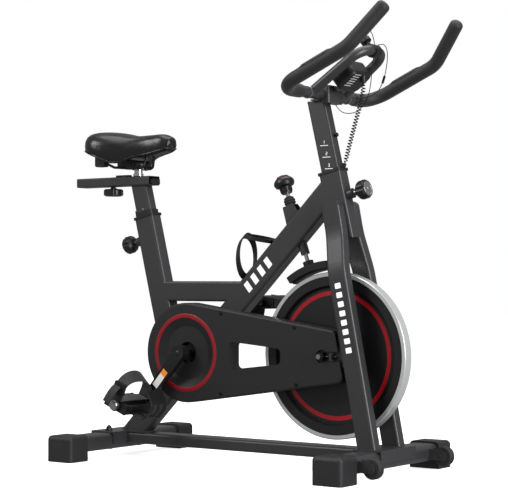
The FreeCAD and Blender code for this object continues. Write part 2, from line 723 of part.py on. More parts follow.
def toe_cage(axle, y):
    """A moulded hoop that runs forward from the pedal and up over the toe."""
    def at(x, z):
        return V(axle.x + x, y, axle.z + z)
    path = fillet_path([at(36, -6), at(82, -6), at(98, 38), at(62, 66)], [16.0, 26.0])
    strip = section(at(36, -6), Y_AXIS, V(0, 0, 1), CAGE_HALF, 2.0, 1.5)
    hoop = path.makePipeShell([strip], True, False)
    gap = CAGE_GAP_HALF
    hole = box(axle.x + 60, axle.x + 110, y - gap, y + gap, axle.z + 4, axle.z + 40)
    lower = box(axle.x + 44, axle.x + 72, y - gap, y + gap, axle.z - 12, axle.z)
    rib = box(axle.x + 36, axle.x + 110, y - 3, y + 3, axle.z - 12, axle.z + 50)
    return largest(hoop.cut(hole.cut(rib)).cut(lower.cut(rib)))


def toe_strap(axle, y):
    """The webbing loop over the foot, across the top of the pedal."""
    half = (PEDAL_OUT - PEDAL_IN) / 2 + 4
    return strap_loop(axle, y, half, 0.0).cut(strap_loop(axle, y, half, STRAP_THICK))


def strap_loop(axle, y, half, shrink):
    base = axle.z + STRAP_OVER + shrink
    side_top = axle.z + 44.0
    crown = axle.z + 76.0 - shrink
    h = half - shrink
    x0 = axle.x - STRAP_HALF

    def at(dy, z):
        return V(x0, y + dy, z)
    arc = Part.Arc(at(-h, side_top), at(0, crown), at(h, side_top)).toShape()
    edges = [arc, Part.LineSegment(at(h, side_top), at(h, base)).toShape(),
             Part.LineSegment(at(h, base), at(-h, base)).toShape(),
             Part.LineSegment(at(-h, base), at(-h, side_top)).toShape()]
    return Part.Face(Part.Wire(edges)).extrude(V(2 * STRAP_HALF, 0, 0))


# ---------------------------------------------------------------- belt cover
def tangent_point(centre, radius, point, upper):
    """Where the line from an outside point touches a circle of the side view."""
    way = point - centre
    far = way.Length
    swing = math.acos(radius / far)
    angle = math.atan2(way.z, way.x) + (swing if upper else -swing)
    return V(centre.x + radius * math.cos(angle), 0, centre.z + radius * math.sin(angle))


def cover_outline(shrink, y0, y1, corner):
    """The cover's side view: a disc round the crank that tapers to the front."""
    radius = COVER_R - shrink
    top = V(COVER_TOP_FRONT[0] - shrink, 0, COVER_TOP_FRONT[1] - shrink)
    low = V(COVER_LOW_FRONT[0] - shrink, 0, COVER_LOW_FRONT[1] + shrink)
    a = tangent_point(crank, radius, top, True)
    b = tangent_point(crank, radius, low, False)
    rear = crank + V(-radius, 0, 0)
    edges = [Part.LineSegment(a, top).toShape(), Part.LineSegment(top, low).toShape(),
             Part.LineSegment(low, b).toShape(), Part.Arc(b, rear, a).toShape()]
    solid = Part.Face(Part.Wire(edges)).extrude(V(0, y1 - y0, 0))
    solid.translate(V(0, y0, 0))
    ends = [e for e in solid.Edges if e.BoundBox.YLength > 1 and e.BoundBox.XLength < 0.01
            and e.BoundBox.XMin > WHEEL_X]
    return solid.makeFillet(corner, ends)


def window_plug(grow, y0, y1, corner):
    points = list(WINDOW)
    cx = sum(p[0] for p in points) / 4
    cz = sum(p[1] for p in points) / 4
    moved = []
    for x, z in points:
        moved.append((x + math.copysign(grow, x - cx), z + math.copysign(grow, z - cz)))
    plug = prism(moved, y0, y1)
    edges = [e for e in plug.Edges if e.BoundBox.YLength > 1]
    return plug.makeFillet(corner, edges)


def belt_cover():
    outer = cover_outline(0.0, COVER_OUT, COVER_IN, 14.0)
    face_edges = [e for e in outer.Edges if abs(e.BoundBox.YMin - COVER_OUT) < 0.01
                  and abs(e.BoundBox.YMax - COVER_OUT) < 0.01]
    outer = outer.makeFillet(5.0, face_edges)
    inner = cover_outline(COVER_WALL, COVER_OUT + COVER_WALL, COVER_IN, 11.5)
    dish_deep = 9.0
    dish_in = RED_RING_R - RED_RING_WIDTH
    dish = turned([(0, COVER_OUT - 1), (dish_in, COVER_OUT - 1), (dish_in, COVER_OUT),
                   (dish_in - 22, COVER_OUT + dish_deep), (0, COVER_OUT + dish_deep)],
                  V(CRANK_X, 0, CRANK_Z), Y_AXIS)
    behind = turned([(0, COVER_OUT), (dish_in + 2, COVER_OUT), (dish_in + 2, COVER_OUT + COVER_WALL),
                     (dish_in - 20, COVER_OUT + dish_deep + COVER_WALL),
                     (0, COVER_OUT + dish_deep + COVER_WALL)], V(CRANK_X, 0, CRANK_Z), Y_AXIS)
    inner = inner.cut(behind)
    plug = window_plug(0.0, COVER_OUT - 1, COVER_IN + 1, 12.0)
    sleeve = window_plug(COVER_WALL, COVER_OUT - 1, COVER_IN + 1, 14.0)
    shell = outer.cut(inner.cut(sleeve)).cut(dish).cut(plug)
    shell = shell.cut(cross_rod(CRANK_X, CRANK_Z, -100, -20, 27.0))
    shell = shell.cut(cross_rod(WHEEL_X, WHEEL_Z, -100, -60, 16.0))
    nut_room = box(WHEEL_X, WHEEL_X + 50, -100, COVER_OUT + 20, WHEEL_Z - 12, WHEEL_Z + 12)
    shell = shell.cut(nut_room)
    plate_room = box(WHEEL_X, WHEEL_X + 70, -59, -50, WHEEL_Z - 27, WHEEL_Z + 27)
    shell = largest(shell.cut(plate_room))
    for x, z in COVER_SCREWS:
        shell = shell.cut(cross_rod(x, z, COVER_OUT - 1, COVER_OUT + 1.4, 5.5))
    keep("cover_shell", largest(shell))
    back = cover_outline(COVER_WALL + 0.5, COVER_IN, COVER_IN + 2.0, 11.0)
    back = back.cut(window_plug(0.0, -60, 0, 12.0))
    back = back.cut(cross_rod(CRANK_X, CRANK_Z, -60, 0, SHELL_R + 4))
    back = back.cut(cross_rod(WHEEL_X, WHEEL_Z, -60, 0, 26.0))
    keep("cover_back", largest(back))


# ---------------------------------------------------------------- posts and collars
def sleeve(axis_at, top, way):
    """A plastic guide in the mouth of an upright tube, with a flange on top."""
    low = axis_at(top - 70)
    high = axis_at(top)
    tall = bar(low, high, TUBE_DEPTH - 2 * TUBE_WALL, TUBE_WIDTH - 2 * TUBE_WALL,
               TUBE_CORNER - TUBE_WALL)
    flange = bar(high, high + way * FLANGE, TUBE_DEPTH + 5, TUBE_WIDTH + 5, TUBE_CORNER)
    hole = bar(axis_at(top - 120), axis_at(top + 60), POST_DEPTH + 2 * SLIDE_FIT,
               POST_WIDTH + 2 * SLIDE_FIT, POST_CORNER)
    return fused([tall, flange]).cut(hole)


def collars():
    column_sleeve = pin_bore(sleeve(column_at, COLUMN_TOP, column_way), KNOB_Z, column_at, column_front)
    seat_sleeve = pin_bore(sleeve(seat_at, SEAT_TOP, seat_way), SEAT_KNOB_Z, seat_at, seat_rear)
    skirt = bar(seat_top + seat_way * FLANGE, seat_top + seat_way * 17, POST_DEPTH + 6, POST_WIDTH + 6,
                POST_CORNER + 2)
    tab = bar(seat_top + seat_way * 8 + seat_rear * 30, seat_top + seat_way * 26 + seat_rear * 30,
              6, 14, 2.0)
    hole = bar(seat_at(SEAT_TOP - 20), seat_at(SEAT_TOP + 80), POST_DEPTH + 2 * SLIDE_FIT,
               POST_WIDTH + 2 * SLIDE_FIT, POST_CORNER)
    seat_sleeve = fused([seat_sleeve, skirt.cut(hole), tab])
    keep("post_collars", column_sleeve, seat_sleeve)


def knob_parts():
    bosses = []
    for name, z, axis_at, way, out in (("seat", SEAT_KNOB_Z, seat_at, seat_rear, SEAT_KNOB_OUT),
                                       ("column", KNOB_Z, column_at, column_front, KNOB_OUT)):
        face = axis_at(z) + way * (TUBE_DEPTH / 2)
        boss = ring(face - way * 3, face + way * 15, 12.0, PIN_R + RUN_FIT)
        bosses.append(largest(boss.cut(bar(axis_at(400), axis_at(800), TUBE_DEPTH, TUBE_WIDTH,
                                           TUBE_CORNER))))
        tip = axis_at(z) + way * (POST_DEPTH / 2 + SLIDE_FIT + GAP)
        pin = rod(tip, face + way * (out + 15), PIN_R)
        keep(name + "_pin", pin)
        keep(name + "_knob", lobed_knob(face + way * out, way))
    keep("welded_bosses", *(bosses + brake_guides()))


def lobed_knob(base, way):
    """A six-lobed knob on the end of a pin, hollowed for the pin's head."""
    up = V(0, 1, 0)
    side = way.cross(up)
    body = turned([(PIN_R + RUN_FIT, 0), (14, 0), (KNOB_R - 2, 6), (KNOB_R, 10), (KNOB_R, 24),
                   (KNOB_R - 3, 28), (0, 28), (0, 16), (PIN_R + RUN_FIT, 16)], base, way)
    for i in range(6):
        turn = math.radians(60 * i + 30)
        middle = base + side * ((KNOB_R + 6) * math.cos(turn)) + up * ((KNOB_R + 6) * math.sin(turn))
        body = body.cut(rod(middle - way, middle + way * 40, 9.0))
    return largest(body)


# ---------------------------------------------------------------- brake
def brake_guides():
    """The brake rod's bracket and guide tube above the main tube, and one below."""
    boot_up = 404.0
    tube_top = tube_exit(1)
    tube_low = tube_exit(-1)
    guide = ring(brake_at(tube_top - 8), brake_at(boot_up - 14), 10.0, BRAKE_ROD_R + 0.5)
    gusset = Part.Face(Part.makePolygon([
        brake_at(boot_up - 18, -17, -13), brake_at(boot_up - 18, 12, -13),
        brake_at(tube_top - 40, 40, -13), brake_at(tube_top - 80, -26, -13),
        brake_at(boot_up - 18, -17, -13)])).extrude(V(0, 26, 0))
    channel = Part.Face(Part.makePolygon([
        brake_at(boot_up, -14, -10), brake_at(boot_up, 30, -10), brake_at(tube_top - 100, 60, -10),
        brake_at(tube_top - 100, -20, -10), brake_at(boot_up, -14, -10)])).extrude(V(0, 20, 0))
    main_solid = bar(down_at(-100), down_at(900), TUBE_DEPTH, TUBE_WIDTH, TUBE_CORNER)
    gusset = largest(gusset.cut(channel).cut(main_solid))
    guide = largest(guide.cut(main_solid))
    under = ring(brake_at(tube_low - 26), brake_at(tube_low + 20), 11.0, BRAKE_ROD_R + 0.5)
    under = largest(under.cut(main_solid))
    return [gusset, guide, under]


def brake_parts():
    shoe_up = WHEEL_R + SHOE_GAP
    knob_low = BRAKE_KNOB_UP - 20
    rod_solid = rod(brake_at(shoe_up + 14), brake_at(knob_low + 16), BRAKE_ROD_R)
    keep("brake_rod", rod_solid)
    knob = turned([(BRAKE_ROD_R + RUN_FIT, -20), (13, -20), (15, -5), (23, -1), (26, 6), (25, 12),
                   (20, 18), (12, 21.5), (0, 22.5), (0, -4), (BRAKE_ROD_R + RUN_FIT, -4)],
                  brake_at(BRAKE_KNOB_UP), brake_way)
    keep("brake_knob", knob)
    keep("brake_shoe", *brake_shoe())


def tube_exit(side):
    """Height along the rod's axis where it leaves the main tube's wall."""
    face = down_at(500) + down_up * (side * TUBE_DEPTH / 2)
    return (face - wheel).dot(down_up) / brake_way.dot(down_up)


def brake_shoe():
    inner = WHEEL_R + SHOE_GAP

    def wedge(grow):
        turn = math.radians(SHOE_HALF_ANGLE + grow)
        far = 320.0
        corners = [V(wheel), brake_at(far * math.cos(turn), far * math.sin(turn)),
                   brake_at(far * 1.2, 0), brake_at(far * math.cos(turn), -far * math.sin(turn))]
        return prism([(p.x, p.z) for p in corners], -100, 100)
    pad = cross_ring(WHEEL_X, WHEEL_Z, -12, 12, inner + 5, inner).common(wedge(-1))
    block = cross_ring(WHEEL_X, WHEEL_Z, -19, 19, inner + 22, inner + 5).common(wedge(0))
    boss = rod(brake_at(inner + 18), brake_at(inner + 34), 13.0)
    socket = rod(brake_at(inner + 14), brake_at(inner + 40), BRAKE_ROD_R)
    holder = largest(fused([block, boss]).cut(socket))
    return holder, pad


# ---------------------------------------------------------------- bottle cage


def bottle_cage():
    """A moulded cage: a back strip, an upright hoop, a sloping hoop and a foot."""
    foot = down_at(CAGE_FOOT_Z) + down_up * (TUBE_DEPTH / 2)
    back = bar(foot + down_up * 2, foot + down_up * 2 + down_way * 132, 4.0, 22.0, 1.5)
    axis = foot + down_up * (4.0 + BOTTLE_R)
    outer = rod(axis - down_way * 120, axis + down_way * 300, BOTTLE_R + CAGE_WALL)
    inner = rod(axis - down_way * 120, axis + down_way * 300, BOTTLE_R)
    wall = outer.cut(inner)
    hoop_x = foot.x + CAGE_HOOP_AHEAD
    hoop = wall.common(box(hoop_x, hoop_x + 11, -80, 80, 200, 800))
    dip = math.radians(CAGE_DIP_DEG)
    slope = V(math.cos(dip), 0, -math.sin(dip))
    crest = V(hoop_x + 2, 0, hoop.BoundBox.ZMax - 6)
    slab = bar(crest - slope * 6, crest + slope * 200, 9.0, 160, 1.0)
    hoop_high = wall.common(slab)
    shelf = bar(foot - down_way * 22 + down_up * 2, foot - down_way * 22 + down_up * 34, 4.0, 20, 1.5)
    lip = bar(foot - down_way * 24 + down_up * 32, foot - down_way * 6 + down_up * 32, 4.0, 20, 1.5)
    neck = bar(foot - down_way * 24 + down_up * 2, foot + down_way * 4 + down_up * 2, 4.0, 20, 1.5)
    main_solid = bar(down_at(-100), down_at(900), TUBE_DEPTH, TUBE_WIDTH, TUBE_CORNER)
    below = box(-300, 300, -TUBE_WIDTH, TUBE_WIDTH, 0, MID_HIGH + GAP)
    cage = fused([back, hoop, hoop_high, shelf, lip, neck]).cut(main_solid).cut(below)
    keep("bottle_cage", largest(cage))


# ---------------------------------------------------------------- transport wheels


def rollers():
    ears = []
    front = FRONT_FOOT_X + FOOT_DEPTH / 2
    for side, name in ((-1, "right"), (1, "left")):
        y = side * ROLLER_Y
        for dy in (-1, 1):
            y0 = y + dy * (ROLLER_HALF + 1.2)
            y1 = y + dy * (ROLLER_HALF + 4.2)
            ya, yb = sorted((y0, y1))
            arm = box(front, ROLLER_X, ya, yb, ROLLER_Z - 10, ROLLER_Z + 16).fuse(
                cross_rod(ROLLER_X, ROLLER_Z, ya, yb, 12.0))
            ears.append(arm.removeSplitter())
        pin = cross_rod(ROLLER_X, ROLLER_Z, y - 16, y + 16, ROLLER_PIN_R)
        ears.append(pin)
        bore = ROLLER_PIN_R + RUN_FIT
        wheel_body = turned([(bore, -ROLLER_HALF), (ROLLER_R - 3, -ROLLER_HALF),
                             (ROLLER_R, 3 - ROLLER_HALF), (ROLLER_R, ROLLER_HALF - 3),
                             (ROLLER_R - 3, ROLLER_HALF), (bore, ROLLER_HALF)],
                            V(ROLLER_X, y, ROLLER_Z), Y_AXIS)
        keep("transport_wheel_" + name, wheel_body)
    pins = ears[2::3]
    arms = []
    for i, ear in enumerate(ears):
        if i % 3 != 2:
            arms.append(ear.cut(pins[i // 3]))
    keep("wheel_brackets", *(arms + pins))


# ---------------------------------------------------------------- saddle group
def seat_parts():
    top = seat_at(RAIL_LOW)
    post = tube(seat_at(SEAT_TOP - 190), seat_at(RAIL_LOW + 40), POST_DEPTH, POST_WIDTH, POST_WALL,
                POST_CORNER)
    post = largest(post.cut(box(-900, 900, -100, 100, RAIL_LOW, 900)))
    keep("seat_post", post)
    half = RAIL_WIDTH / 2
    rail = box(RAIL_REAR, RAIL_FRONT, -half, half, RAIL_LOW, RAIL_HIGH)
    long_edges = [e for e in rail.Edges if e.BoundBox.XLength > 10]
    rail = rail.makeFillet(4.0, long_edges)
    hollow = box(RAIL_REAR + 3, RAIL_FRONT, 2 - half, half - 2, RAIL_LOW + 2, RAIL_HIGH - 2)
    slot = box(STEM_X - 72, STEM_X + STEM_R + 5, -STEM_R - 4, STEM_R + 4, RAIL_HIGH - 5, RAIL_HIGH + 5)
    rail = rail.cut(hollow).cut(slot)
    rail = rail.cut(rod(V(TEE_X, 0, RAIL_LOW - 5), V(TEE_X, 0, RAIL_LOW + 5), 5.0 + RUN_FIT))
    keep("seat_rail", rail)
    slider_half = SLIDER_WIDTH / 2
    low = RAIL_LOW + 2 + GAP
    slider = box(RAIL_REAR + 70, RAIL_FRONT + 6, -slider_half, slider_half, low, low + SLIDER_HIGH)
    slider = slider.makeFillet(3.0, [e for e in slider.Edges if e.BoundBox.XLength > 10])
    base = rod(V(STEM_X, 0, low + SLIDER_HIGH), V(STEM_X, 0, 735), STEM_R + 2.5)
    stem = rod(V(STEM_X, 0, 735), V(STEM_X, 0, SADDLE_PIVOT_Z), STEM_R)
    barrel = cross_rod(STEM_X, SADDLE_PIVOT_Z, -BARREL_HALF, BARREL_HALF, 13.0)
    bolt_hole = cross_rod(STEM_X, SADDLE_PIVOT_Z, -40, 40, CLAMP_BOLT_R + RUN_FIT)
    keep("seat_slider", fused([slider, base, stem, barrel]).cut(bolt_hole))
    grip = turned([(0, 0), (20, 0), (26, 3), (26, 16), (22, 19), (8, 19), (8, 23), (5, 23),
                   (5, 27), (0, 27)], V(TEE_X, 0, 678), V(0, 0, 1))
    for i in range(8):
        turn = math.radians(45 * i)
        place = V(TEE_X + 30 * math.cos(turn), 30 * math.sin(turn), 670)
        grip = grip.cut(rod(place, place + V(0, 0, 30), 6.5))
    keep("slider_knob", largest(grip))


def saddle_parts():
    """Cushion, moulded base with rear bumpers, steel rails and the clamp."""
    cushion = Part.makeLoft([saddle_section(*row) for row in SADDLE_SECTIONS], True, False)
    keep("saddle_cushion", cushion)
    plate = Part.makeLoft([plate_section(*row) for row in BASE_SECTIONS], True, True)
    bumpers = []
    for side in (-1, 1):
        y0, y1 = sorted((side * 36.0, side * 54.0))
        bumper = box(-436, -403, y0, y1, BUMPER_LOW, 795)
        bumpers.append(bumper.makeFillet(6.0, [e for e in bumper.Edges if e.BoundBox.YLength > 10]))
    base = largest(fused([plate] + bumpers).cut(cushion))
    keep("saddle_base", base)
    rails = []
    for side in (-1, 1):
        path = [V(-404, side * 45, 762), V(-382, side * 38, 751), V(-345, side * 22, RAIL_ROD_Z),
                V(-300, side * 20, RAIL_ROD_Z), V(-289, side * 13, 784)]
        rails.append(largest(pipe(path, [12.0, 30.0, 9.0], RAIL_ROD_R).cut(base).cut(cushion)))
    bolt = cross_rod(STEM_X, SADDLE_PIVOT_Z, -37, 37, CLAMP_BOLT_R)
    held = rails + [bolt]
    for side in (-1, 1):
        y0, y1 = sorted((side * (BARREL_HALF + GAP), side * 31.0))
        jaw = box(STEM_X - 19, STEM_X + 19, y0, y1, SADDLE_PIVOT_Z - 12, SADDLE_PIVOT_Z + 4)
        y2, y3 = sorted((side * (BARREL_HALF + GAP), side * 34.0))
        jaw = jaw.fuse(cross_rod(STEM_X, SADDLE_PIVOT_Z, y2, y3, 13.0))
        held.append(largest(jaw.cut(rails[0]).cut(rails[1]).cut(bolt)))
    keep("saddle_rails", *held)


def saddle_section(x, half, top, low):
    """A domed closed outline across the saddle."""
    rise = top - low
    pairs = [(0, top), (0.45 * half, top - 0.03 * rise), (0.8 * half, top - 0.14 * rise),
             (0.98 * half, top - 0.42 * rise), (half, low + 0.28 * rise), (0.93 * half, low),
             (0.55 * half, low + 0.22 * rise), (0, low + 0.24 * rise)]
    points = [V(x, y, z) for y, z in pairs]
    points += [V(x, -y, z) for y, z in reversed(pairs[1:-1])]
    curve = Part.BSplineCurve()
    curve.interpolate(points, True)
    return Part.Wire(curve.toShape())


def plate_section(x, half, low):
    high = low + 30
    points = [V(x, -half, high), V(x, half, high), V(x, half, low + 4), V(x, half * 0.8, low),
              V(x, -half * 0.8, low), V(x, -half, low + 4), V(x, -half, high)]
    return Part.makePolygon(points)


# ---------------------------------------------------------------- handlebar group
def handlebar_parts():
    post = tube(column_at(COLUMN_TOP - 150), column_at(POST_TOP + 40), POST_DEPTH, POST_WIDTH,
                POST_WALL, POST_CORNER)
    post = largest(post.cut(box(-900, 900, -100, 100, POST_TOP, 1200)))
    block = box(BAR_X + 2, BAR_X + BLOCK_AHEAD, -BLOCK_HALF, BLOCK_HALF, POST_TOP - 8, POST_TOP + 34)
    block = block.makeFillet(6.0, [e for e in block.Edges if e.BoundBox.ZLength > 10])
    block = block.fuse(console_arm()).removeSplitter()
    cap = box(BAR_X - 32, BAR_X + BLOCK_AHEAD, -24, 24, POST_TOP, POST_TOP + 4)
    bar_solid, path = handlebar_tube(BAR_R)
    block = largest(block.cut(bar_solid).cut(bar(column_at(600), column_at(POST_TOP), POST_DEPTH,
                                                 POST_WIDTH, POST_CORNER)))
    cap = cap.cut(bar_solid).cut(block)
    keep("handlebar_post", post, block, largest(cap))
    grips = []
    for side in (-1, 1):
        points = [V(BAR_X, side * 112, BAR_Z)] + horn_points(side)
        whole = pipe(points, [52.0, 70.0], GRIP_R)
        tip_way = points[-1] - points[-2]
        tip_way.normalize()
        end = points[-1]
        dome = turned([(0, -3), (GRIP_R, -3), (GRIP_R, 2), (GRIP_R - 4, 7), (0, 8.5)], end, tip_way)
        grips.append(whole.cut(bar_solid).fuse(dome.cut(bar_solid)).removeSplitter())
    keep("grips", *grips)
    loop = pipe([V(BAR_X + 2, -68, BAR_Z + 2), V(LOOP_X, -LOOP_HALF, LOOP_Z),
                 V(LOOP_X, LOOP_HALF, LOOP_Z), V(BAR_X + 2, 68, BAR_Z + 2)], [44.0, 44.0], LOOP_R)
    keep("handlebar", bar_solid, largest(loop.cut(bar_solid)))
    console()


def horn_points(side):
    return [V(BAR_X, side * BAR_HALF, BAR_Z), V(HORN_X, side * HORN_HALF, HORN_Z),
            V(TIP_X, side * TIP_HALF, TIP_Z)]


def handlebar_tube(radius):
    left = horn_points(1)
    right = list(reversed(horn_points(-1)))
    points = right + left
    return pipe(points, [70.0, 52.0, 52.0, 70.0], radius), points


def console_arm():
    """The tongue of the bar clamp that the display sits on."""
    return box(BAR_X + BLOCK_AHEAD - 10, BAR_X + 52, -12, 12, BAR_Z + 6, BAR_Z + 16)


def console():
    """The display housing, between the loop's legs, with one button."""
    tilt = math.radians(CONSOLE_TILT)
    face_way = V(-math.sin(tilt), 0, math.cos(tilt))
    along = V(math.cos(tilt), 0, math.sin(tilt))
    middle = V(BAR_X + 68, 0, BAR_Z + 41)
    outline = section(middle - face_way * 22, along, Y_AXIS, 32.0, 42.0, 16.0)
    body = Part.Face(outline).extrude(face_way * 44)
    body = body.makeFillet(7.0, [e for e in body.Edges if edge_far(e, middle, face_way, 21.9)])
    body = body.cut(console_arm())
    screen_low = middle + face_way * 22 + along * 10
    recess = Part.Face(section(screen_low, along, Y_AXIS, 17.0, 30.0, 4.0)).extrude(face_way * -1.2)
    body = body.cut(recess)
    button_at = middle + face_way * 20 - along * 19
    body = body.cut(rod(button_at, button_at + face_way * 9, 7.0 + GAP / 2))
    button = rod(button_at + face_way * 1.6, button_at + face_way * 4.2, 7.0)
    neck = V(*CURLY_TOP)
    up = neck - V(*CURLY_POINTS[0])
    up.normalize()
    relief = rod(neck, neck + up * 25, CURLY_R + 1.5)
    keep("console", largest(body.fuse(relief).removeSplitter()))
    keep("console_button", button)


def edge_far(edge, middle, way, far):
    points = [edge.valueAt(edge.FirstParameter), edge.valueAt(edge.LastParameter)]
    return all(abs((p - middle).dot(way)) > far for p in points)


# ---------------------------------------------------------------- cords
def cord_pipe(name, route, radius):
    """A cord's tube: each arc is as large as its two runs allow."""
    points = [V(*point) for point in route]
    radii = []
    for i in range(1, len(points) - 1):
        a = points[i - 1] - points[i]
        b = points[i + 1] - points[i]
        turn = math.pi - a.getAngle(b)
        radii.append(0.45 * min(a.Length, b.Length) / math.tan(turn / 2))
    solid = pipe(points, radii, radius)
    length = fillet_path(points, radii).Length
    shortest = min(radii) if radii else 0.0
    print("%s: length %.1f mm, smallest bend %.1f mm, volume %.0f of %.0f mm3" % (
        name, length, shortest, solid.Volume, math.pi * radius * radius * length))
    keep(name, solid)


def cord_parts():
    cord_pipe("curly_cord", (CURLY_TOP,) + CURLY_POINTS, CURLY_R)
    cord_pipe("pulse_lead_left", LEFT_LEAD_POINTS, LEAD_R)
    cord_pipe("pulse_lead_right", RIGHT_LEAD_POINTS, LEAD_R)
    cord_pipe("console_lead", CONSOLE_LEAD_POINTS, LEAD_R)
    keep("cord_clips", *cord_clips())
    mouth = V(*CURLY_POINTS[-1])
    down = mouth - V(*CURLY_POINTS[-2])
    down.normalize()
    socket = rod(mouth, mouth + down * 20, SOCKET_R)
    flange_top = column_top + column_way * FLANGE
    socket = socket.cut(bar(column_at(COLUMN_BOTTOM), flange_top, 2 * TUBE_DEPTH, 2 * TUBE_DEPTH, 1.0))
    socket = largest(socket.cut(bar(column_at(COLUMN_BOTTOM), column_at(POST_TOP),
                                    POST_DEPTH + 2 * GAP, POST_WIDTH + 2 * GAP, POST_CORNER)))
    sensor = box(CRANK_X + 60, CRANK_X + 84, COVER_IN - 4, COVER_IN, CRANK_Z + 30, CRANK_Z + 44)
    keep("sensor_and_socket", socket, sensor)


def cord_clips():
    """The clamp at the loop's apex that holds the leads, and its round back."""
    apex = V(LOOP_X, 0, LOOP_Z)
    up = V(-0.65, 0, 0.76)
    clamp = cross_ring(apex.x, apex.z, -11, 11, LOOP_R + 4, LOOP_R)
    post = rod(apex + up * (LOOP_R + 2), apex + up * 34, 6.0)
    head = rod(apex + up * 30, apex + up * 40, 13.0)
    return [largest(fused([clamp, post, head]).cut(cross_rod(apex.x, apex.z, -40, 40, LOOP_R)))]


# ---------------------------------------------------------------- build
def build():
    frame_tubes()
    for side, name in ((-1, "right"), (1, "left")):
        keep("fork_leg_" + name, fork_leg(side))
    feet()
    bottom_bar()
    axle_parts()
    drive_parts()
    flywheel()
    crank_parts()
    belt_cover()
    collars()
    knob_parts()
    brake_parts()
    bottle_cage()
    rollers()
    seat_parts()
    saddle_parts()
    handlebar_parts()
    cord_parts()


def write_out():
    os.makedirs("parts", exist_ok=True)
    for name, shape in pieces.items():
        shape.exportStep("parts/" + name + ".step")


build()
write_out()
print(len(pieces), "pieces written")
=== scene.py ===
import json
import math

import bmesh
import bpy
from mathutils import Matrix, Vector


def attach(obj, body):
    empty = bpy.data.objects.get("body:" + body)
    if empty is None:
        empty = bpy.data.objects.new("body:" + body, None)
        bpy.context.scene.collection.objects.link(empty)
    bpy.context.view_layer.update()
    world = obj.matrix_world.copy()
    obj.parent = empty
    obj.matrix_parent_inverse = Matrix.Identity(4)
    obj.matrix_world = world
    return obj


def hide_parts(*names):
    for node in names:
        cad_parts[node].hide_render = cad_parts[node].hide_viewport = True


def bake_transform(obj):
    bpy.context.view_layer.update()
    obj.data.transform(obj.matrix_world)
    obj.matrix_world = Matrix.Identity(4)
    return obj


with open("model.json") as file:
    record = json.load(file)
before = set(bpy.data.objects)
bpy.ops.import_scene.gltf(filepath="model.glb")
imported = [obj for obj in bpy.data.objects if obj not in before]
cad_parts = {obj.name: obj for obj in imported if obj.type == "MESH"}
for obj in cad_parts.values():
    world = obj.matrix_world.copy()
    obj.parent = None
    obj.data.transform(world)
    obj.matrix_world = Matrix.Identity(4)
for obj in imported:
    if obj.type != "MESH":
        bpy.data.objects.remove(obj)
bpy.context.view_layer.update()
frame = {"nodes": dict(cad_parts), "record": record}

MM = 0.001
NODES = frame["nodes"]

# Places, in millimetres, the same as the frame's
CRANK = Vector((-124.0, 0.0, 275.0))
CRANK_REACH = Vector((-112.32, 0.0, -127.61))
WHEEL = Vector((285.0, 0.0, 277.0))
COLUMN_TOP = Vector((276.5, 0.0, 713.0))
COLUMN_WAY = Vector((-0.24, 0.0, 1.0)).normalized()
COLUMN_FRONT = Vector((COLUMN_WAY.z, 0.0, -COLUMN_WAY.x))
SEAT_TOP = Vector((-300.0, 0.0, 619.0))
SEAT_WAY = Vector((-0.25, 0.0, 1.0)).normalized()
SEAT_REAR = Vector((-SEAT_WAY.z, 0.0, SEAT_WAY.x))
BRAKE_WAY = Vector((-math.sin(math.radians(20.0)), 0.0, math.cos(math.radians(20.0))))
LEVEL = Vector((1.0, 0.0, 0.0))
UPRIGHT = Vector((0.0, 0.0, 1.0))
TUBE_HALF_DEPTH = 30.0
KNOB_LENGTH = 28.0
KNOB_OUT = 28.0
WHEEL_RIM = (189.6, 400.0)
WHEEL_RING = (144.6, 155.0)
STEM_FOOT_Z = 728.5
DISPLAY_MIDDLE = Vector((327.0, 0.0, 943.0))
DISPLAY_TILT = math.radians(38.0)
BRAKE_KNOB_UP = 437.0


# ------------------------------------------------------------ materials
def linear(code, alpha=1.0):
    """An sRGB hex colour as the linear values that the shaders take."""
    out = []
    for i in (0, 2, 4):
        part = int(code[i:i + 2], 16) / 255
        out.append(part / 12.92 if part <= 0.04045 else ((part + 0.055) / 1.055) ** 2.4)
    return (*out, alpha)


def add(tree, kind, links=None, **settings):
    """One shader node with its settings, and its inputs set or linked."""
    made = tree.nodes.new(kind)
    for key, value in settings.items():
        setattr(made, key, value)
    for socket, value in (links or {}).items():
        if isinstance(value, bpy.types.NodeSocket):
            tree.links.new(value, made.inputs[socket])
        else:
            made.inputs[socket].default_value = value
    return made


def per_mm(size):
    """The pattern scale that gives a feature of this size in millimetres."""
    return 1.0 / (size * MM)


def start(name, **values):
    """A new material with its shader, and the coordinates of the piece at rest."""
    made = bpy.data.materials.new(name)
    made.use_nodes = True
    tree = made.node_tree
    shader = tree.nodes["Principled BSDF"]
    for socket, value in values.items():
        shader.inputs[socket.replace("_", " ")].default_value = value
    place = add(tree, "ShaderNodeTexCoord").outputs["Object"]
    return made, tree, shader, place


def rough_and_bump(tree, shader, grain, rough, height, strength):
    """Grain moves the gloss between two values and lifts the surface."""
    spread = add(tree, "ShaderNodeMapRange", {0: grain, 3: rough[0], 4: rough[1]})
    tree.links.new(spread.outputs[0], shader.inputs["Roughness"])
    bump = add(tree, "ShaderNodeBump", {"Height": grain, "Distance": height * MM,
                                        "Strength": strength})
    tree.links.new(bump.outputs[0], shader.inputs["Normal"])


def tinted(tree, shader, factor, low, high):
    """Colour that wanders between two close tints."""
    mix = add(tree, "ShaderNodeMix", {0: factor, 6: linear(low), 7: linear(high)},
              data_type="RGBA")
    tree.links.new(mix.outputs[2], shader.inputs["Base Color"])


